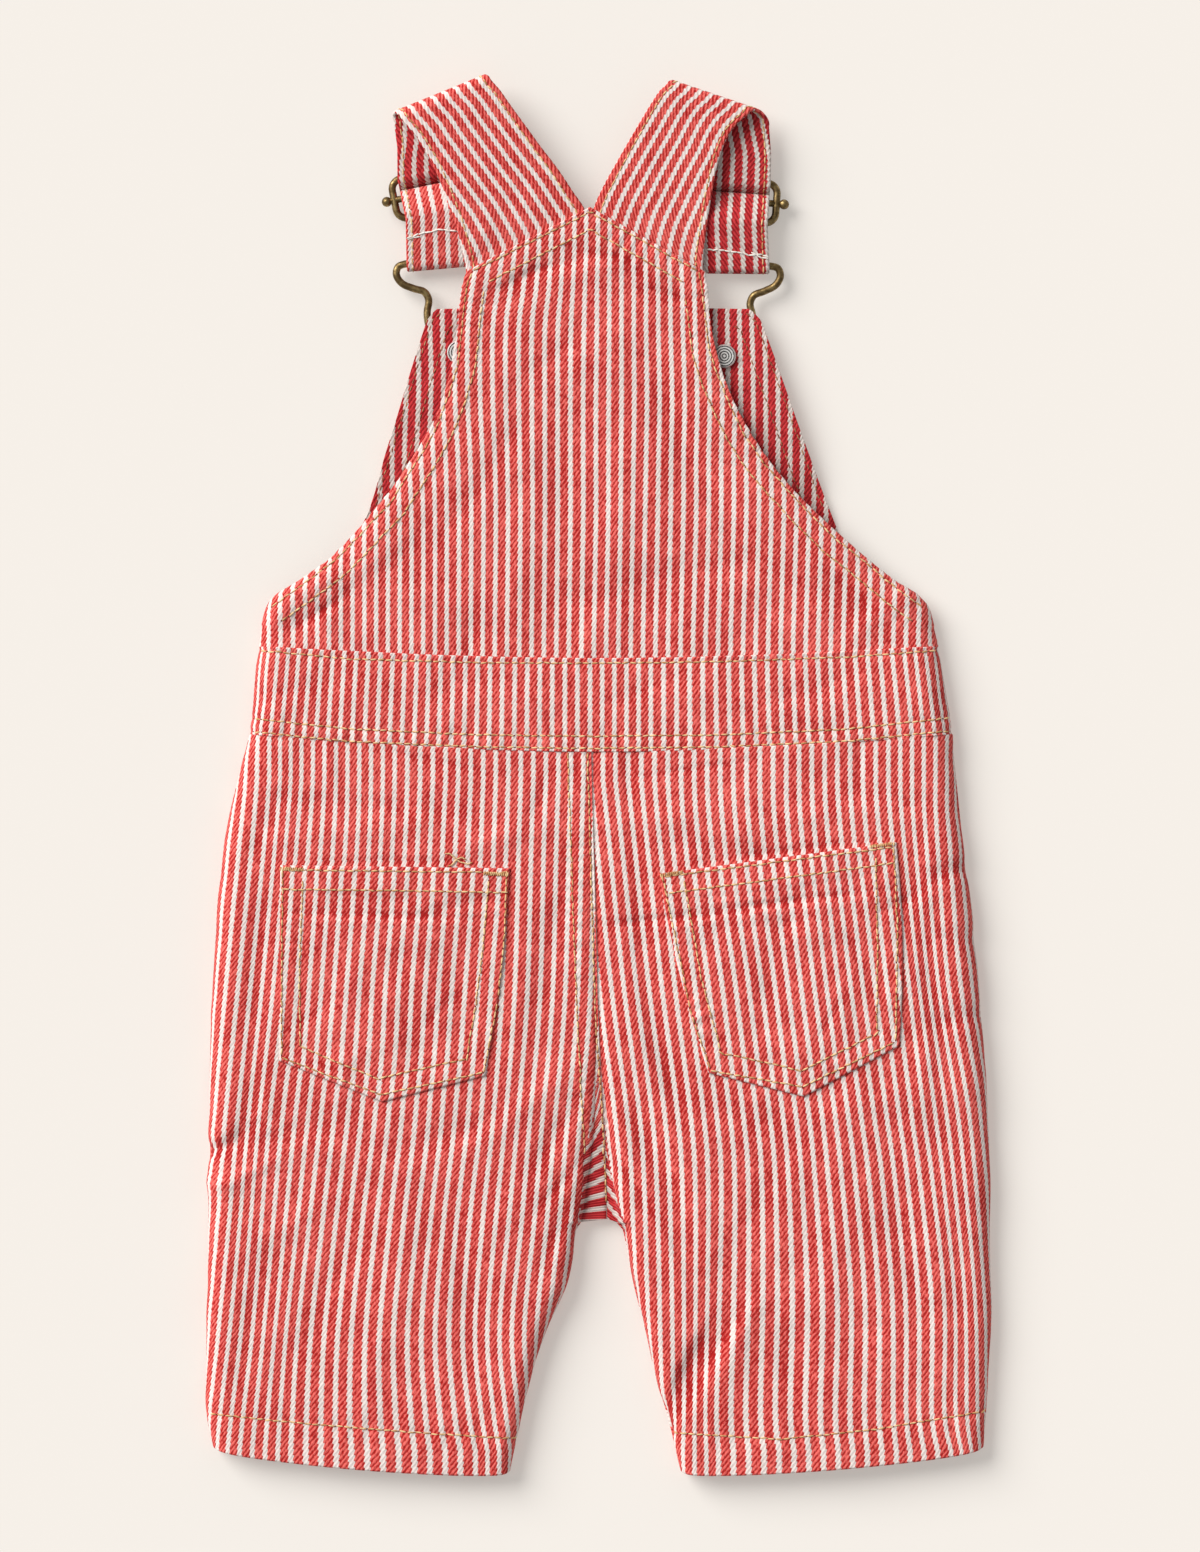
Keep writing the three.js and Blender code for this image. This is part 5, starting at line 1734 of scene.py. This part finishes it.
def make_button(row):
    bpy.ops.object.select_all(action="DESELECT")
    bpy.ops.mesh.primitive_cylinder_add(
        vertices=40,
        radius=8.3 * MM,
        depth=1.2 * MM,
        location=(0, 0, 1.5 * MM),
    )
    tack = bpy.context.object
    tack.name = "button_" + row["name"] + "_tack"
    bpy.ops.object.mode_set(mode="EDIT")
    bpy.ops.mesh.select_mode(type="FACE")
    for narrow, fall in ((0.3, 0.55), (1.5, 0.35), (1.2, -0.2), (0.5, 0.15), (2.4, 0.05)):
        step_up(tack, narrow, fall, -1)
    for narrow, rise in ((0.6, 0.5), (1.0, 0.5), (4.5, 0.05)):
        step_up(tack, narrow, rise)
    faces_up(tack, 1)
    bpy.ops.mesh.extrude_region_move(TRANSFORM_OT_translate={"value": (0, 0, 5.15 * MM)})
    step_up(tack, -1.05, 0.0)
    faces_up(tack, 1)
    bpy.ops.mesh.extrude_region_move(TRANSFORM_OT_translate={"value": (0, 0, 0.5 * MM)})
    for narrow, rise in ((0.14, 0.3), (0.3, 0.28)):
        step_up(tack, narrow, rise)
    for ring in range(4):
        step_up(tack, 0.12, -0.4)
        step_up(tack, 0.32, 0.0)
        step_up(tack, 0.12, 0.4)
        step_up(tack, 0.43, 0.0)
    bpy.ops.mesh.select_all(action="SELECT")
    bpy.ops.transform.translate(value=(row["buttonX"] * MM, row["buttonY"] * MM, 0))
    bpy.ops.object.mode_set(mode="OBJECT")
    bpy.ops.object.shade_smooth_by_angle(angle=math.radians(38))
    tack.data.transform(tack.matrix_world)
    tack.matrix_world.identity()
    tack.data.materials.clear()
    tack.data.materials.append(steel)
    tack.data.materials.append(brass)
    tack.data.materials.append(ring_shade_steel)
    top = max(vertex.co.z for vertex in tack.data.vertices)
    # Painted shade: faces on the ring floors take the near-black steel
    for face in tack.data.polygons:
        from_middle = math.hypot(face.center.x - row["buttonX"] * MM, face.center.y - row["buttonY"] * MM)
        in_ring = face.center.z < top - 0.3 * MM and from_middle < 4.0 * MM and face.normal.z > 0.9
        face.material_index = 1 if face.center.z < 4 * MM else 2 if in_ring else 0
    declare(tack, "button_" + row["name"])
    return tack


for row in BUCKLES:
    tack = make_button(row)
    box = [round(v.co.z * 1000, 2) for v in tack.data.vertices]
    wide = max(v.co.x for v in tack.data.vertices) * 1000 - row["buttonX"]
    print(tack.name, "from", min(box), "to", max(box), "mm, half width", round(wide, 2))

# %% [markdown]
# Topstitching holds every seam. One stitch is modelled: a short thread that dives into the cloth at both
# ends. It is copied along each row, and each copy is dropped on the cloth by a ray, so that the rows
# follow the folds. The thread is tan, and the end of each strap was closed with a pale one.

# %% One stitch
def thread(name, dark, light):
    n = Nodes(name)
    place = n.add("ShaderNodeTexCoord").outputs["Object"]
    tone = n.noise(place, 420.0, 2.0, 0.5)
    n.put(n.mix(n.ramp(tone, 0.35, 0.65), dark, light), n.bsdf.inputs["Base Color"])
    n.bsdf.inputs["Roughness"].default_value = 0.7
    n.bsdf.inputs["Specular IOR Level"].default_value = 0.3
    return n.material


tan_thread = thread("tan_thread", (0.44, 0.22, 0.08, 1), (0.78, 0.55, 0.28, 1))
pale_thread = thread("pale_thread", (0.66, 0.60, 0.54, 1), (0.86, 0.82, 0.76, 1))


def model_stitch():
    bpy.ops.object.select_all(action="DESELECT")
    bpy.ops.mesh.primitive_uv_sphere_add(segments=6, ring_count=5, radius=1, rotation=(0, math.pi / 2, 0))
    stitch = bpy.context.object
    bpy.ops.object.transform_apply(rotation=True)
    bpy.ops.object.mode_set(mode="EDIT")
    bpy.ops.mesh.select_all(action="SELECT")
    bpy.ops.transform.resize(value=(1.4, 0.36, 0.44))
    bpy.ops.object.mode_set(mode="OBJECT")
    points = np.array([v.co[:] for v in stitch.data.vertices])
    points[:, 0] = np.sign(points[:, 0]) * (np.abs(points[:, 0]) / 1.4) ** 0.8 * 1.4
    faces = [list(face.vertices) for face in stitch.data.polygons]
    bpy.data.objects.remove(stitch)
    return points, faces


STITCH_POINTS, STITCH_FACES = model_stitch()
print("one stitch has", len(STITCH_FACES), "faces")


def sew(name, places, finish, size=(1.0, 1.0, 1.0)):
    """Copies the stitch to (point, direction, normal) places as one piece."""
    points, faces = [], []
    for middle, run, up in places:
        side = np.cross(up, run)
        side /= np.linalg.norm(side)
        run = np.cross(side, up)
        frame_axes = np.stack([run, side, up])
        start = len(points) * len(STITCH_POINTS)
        points.append(STITCH_POINTS * np.array(size) @ frame_axes + middle)
        faces += [[start + i for i in face] for face in STITCH_FACES]
    mesh = bpy.data.meshes.new(name)
    mesh.from_pydata((np.concatenate(points) * MM).tolist(), [], faces)
    mesh.polygons.foreach_set("use_smooth", np.ones(len(faces), dtype=bool))
    piece = bpy.data.objects.new(name, mesh)
    bpy.context.scene.collection.objects.link(piece)
    piece.data.materials.append(finish)
    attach(piece, "root")
    print(name, len(places), "stitches")
    return piece


def surface_of(piece_name):
    mesh = bpy.data.objects[piece_name].data
    points = np.empty(len(mesh.vertices) * 3)
    mesh.vertices.foreach_get("co", points)
    points = points.reshape(-1, 3) / MM
    return BVHTree.FromPolygons(points.tolist(), [list(face.vertices) for face in mesh.polygons])


def walk(points, spacing):
    """Even places along a line, each with its direction."""
    points = np.array(points, dtype=float)
    step = np.linalg.norm(np.diff(points, axis=0), axis=1)
    total = np.concatenate([[0], np.cumsum(step)])
    count = max(1, round(total[-1] / spacing))
    at = (np.arange(count) + 0.5) * total[-1] / count
    spots = np.stack([np.interp(at, total, points[:, i]) for i in range(points.shape[1])], 1)
    ahead = np.stack([np.interp(at + 0.6, total, points[:, i]) for i in range(points.shape[1])], 1)
    behind = np.stack([np.interp(at - 0.6, total, points[:, i]) for i in range(points.shape[1])], 1)
    return spots, ahead - behind


def drop(tree, lines, spacing=3.0, look=-1, seed=1, sink=0.0, shift=0.0):
    """Places for stitches along photo lines, on the surface that a vertical ray meets."""
    rng = np.random.default_rng(seed)
    places = []
    for line in lines:
        spots, runs = walk([spot(*p) for p in line], spacing)
        spots = spots + shift * spacing * runs / np.linalg.norm(runs, axis=1)[:, None]
        for (x, y), run in zip(spots, runs):
            x += rng.normal(0, 0.08)
            y += rng.normal(0, 0.08)
            hit, normal, _, _ = tree.ray_cast(Vector((x, y, -40 * look)), Vector((0, 0, look)))
            if hit is None:
                continue
            up = np.array(normal) * (1 if normal.z * -look > 0 else -1)
            angle = rng.normal(0, 0.09)
            lean = np.array([run[0] - run[1] * angle, run[1] + run[0] * angle, 0])
            places.append((np.array(hit) - up * sink, lean / np.linalg.norm(lean), up))
    return places


# %% [markdown]
# The rows are read off the photograph: twice round the pockets, twice along the armholes and the bib's
# point, along the waistband, the hems and the seat seam. Between two stitches the needle leaves a small
# dent, and its shade is painted in with a dark red copy of the stitch sunk into the cloth. The hems and
# the waistband are sewn on the hidden front as well.

# %% Rows of stitches on the back
POCKET_LEFT_ROWS = [
    [(283, 869.5), (507, 872.5)],
    [(283, 889), (508, 892)],
    [(283.5, 870), (282.5, 960), (282.5, 1055)],
    [(303.5, 880), (300, 978), (301, 1046), (378, 1078), (467, 1058), (476, 1006), (484, 941), (489, 880)],
    [(282.5, 1057), (381, 1094), (483, 1072)],
    [(507, 870), (505, 930), (498, 1000), (484, 1072)],
]
POCKET_RIGHT_ROWS = [
    [(664, 876.5), (892, 847)],
    [(668, 893), (893, 863)],
    [(662, 874), (678, 950), (690, 1010), (710, 1068)],
    [(684, 880), (701, 977), (721, 1052), (801, 1070), (876, 1033), (877, 949), (875, 857)],
    [(710, 1070), (802, 1086), (893, 1042)],
    [(893, 846), (897, 930), (895, 1040)],
]
BACK_ROWS = {
    "back_left": [SEAT_ROW_FAR, SEAT_ROW_NEAR, HEM_LEFT],
    "back_right": [HEM_RIGHT],
    "back_bib": BIB_ROWS,
    "waistband_back": [BAND_TOP_ROW, BAND_MID_ROW, BAND_LOW_ROW],
    "pocket_left": POCKET_LEFT_ROWS,
    "pocket_right": POCKET_RIGHT_ROWS,
}
HOLE = (0.3, 1.0, 0.62)
# Painted shade: a dark red copy of the stitch between every two stitches stands for the shade in the needle's
# dent
hole_shade = bpy.data.materials.new("needle_hole_shade")
hole_shade.use_nodes = True
hole_shade.node_tree.nodes["Principled BSDF"].inputs["Base Color"].default_value = (0.16, 0.016, 0.012, 1)
hole_shade.node_tree.nodes["Principled BSDF"].inputs["Roughness"].default_value = 0.95
for number, (name, lines) in enumerate(BACK_ROWS.items()):
    tree = surface_of(name + "_cloth")
    sew("stitches_" + name, drop(tree, lines, seed=number), tan_thread)
    sew("shaded_needle_holes_" + name, drop(tree, lines, seed=number, sink=0.12, shift=0.5), hole_shade, HOLE)

bobbin_thread = thread("bobbin_thread", (0.20, 0.06, 0.03, 1), (0.45, 0.22, 0.11, 1))
places = drop(surface_of("front_bib_cloth"), FRONT_ROWS[2:], seed=30)
sew("stitches_inside_front_bib", places, bobbin_thread, (0.8, 0.75, 0.6))

UNDER_ROWS = {
    "front_left": [HEM_LEFT],
    "front_right": [HEM_RIGHT],
    "waistband_front": [BAND_TOP_ROW, BAND_MID_ROW, BAND_LOW_ROW],
    "front_bib": FRONT_ROWS,
}
for number, (name, lines) in enumerate(UNDER_ROWS.items()):
    tree = surface_of(name + "_cloth")
    sew("stitches_under_" + name, drop(tree, lines, look=1, seed=40 + number, sink=0.15), tan_thread)

# %% [markdown]
# A bar tack is a short dense ladder of thread that takes the strain at each pocket corner. One thread
# end was never trimmed, and it curls over the top of the left pocket.

# %% Bar tacks and a loose thread
TACKS = {
    "pocket_left": [[(281, 868.5), (304, 869.5)], [(484, 873), (509, 874.5)]],
    "pocket_right": [[(660, 875), (683, 872)], [(869, 846.5), (894, 843.5)]],
}
for number, (name, lines) in enumerate(TACKS.items()):
    places = drop(surface_of(name + "_cloth"), lines, spacing=0.75, seed=60 + number, sink=-0.1)
    ladder = [(middle, np.cross(up, run) + 0.25 * run, up) for middle, run, up in places]
    sew("bar_tacks_" + name, ladder, tan_thread, (0.62, 0.9, 1.0))

LOOSE_END = [
    [(446, 853), (451, 854), (456, 858), (460, 862), (468, 864), (472, 862)],
    [(449, 866), (453, 864), (457, 859), (462, 857), (466, 859)],
]
places = drop(surface_of("back_left_cloth"), LOOSE_END, spacing=1.1, seed=70, sink=-0.5)
sew("loose_thread", places, tan_thread, (0.62, 0.75, 0.62))

# %% [markdown]
# The straps have a row close to each edge all along, on both faces. The free end of each strap was
# turned in and closed with a pale thread, which shows as a slanting line across the loop.

# %% Rows on the straps
def strap_places(name, seed):
    stations, ups = STRAP_LINES[name]
    tree = surface_of("strap_" + name + "_cloth")
    first = np.array([s[0] for s in stations])
    last = np.array([s[1] for s in stations])
    rng = np.random.default_rng(seed)
    places = []
    for k in (2.3 / 35.2, 1 - 2.3 / 35.2):
        line = first + (last - first) * k
        spots, runs = walk(np.concatenate([line, ups], 1), 3.0)
        for place, run in zip(spots, runs):
            up = place[3:] / np.linalg.norm(place[3:])
            for way in (1, -1):
                start = place[:3] + up * way * 1.25 + rng.normal(0, 0.05, 3)
                hit, normal, _, _ = tree.ray_cast(Vector(start), Vector(-up * way), 1.6)
                if hit is None:
                    continue
                lean = run[:3] / np.linalg.norm(run[:3]) + rng.normal(0, 0.06, 3)
                places.append((np.array(hit) - up * way * 0.06, lean / np.linalg.norm(lean), up * way))
    return places


for number, name in enumerate(("left", "right")):
    sew("stitches_strap_" + name, strap_places(name, 90 + number), tan_thread)

PALE_ROWS = {
    "left": [
        [(407, 239), (417.6, 235.2), (428.8, 232.7), (440, 230), (448.4, 231.3), (457, 232)],
        [(408, 240.6), (414, 238.2), (420, 237.2)],
    ],
    "right": [
        [(706, 249.7), (718.4, 250.4), (729.6, 251.8), (740.8, 253.2)]
        + [(750.6, 256), (760.4, 255.3), (768, 257)],
        [(752, 253), (760, 257.6), (768, 259)],
    ],
}
for name, lines in PALE_ROWS.items():
    places = drop(surface_of("strap_" + name + "_cloth"), lines, spacing=2.3, seed=80)
    sew("pale_stitches_strap_" + name, places, pale_thread)

# %% [markdown]
# The finished scene is measured, and its box is listed beside the CAD box.

# %% Size and finish
visual_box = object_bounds()
boxes = {"cad": cad_box, "visual": visual_box}
{name: [list(map(float, v)) for v in box] for name, box in boxes.items()}
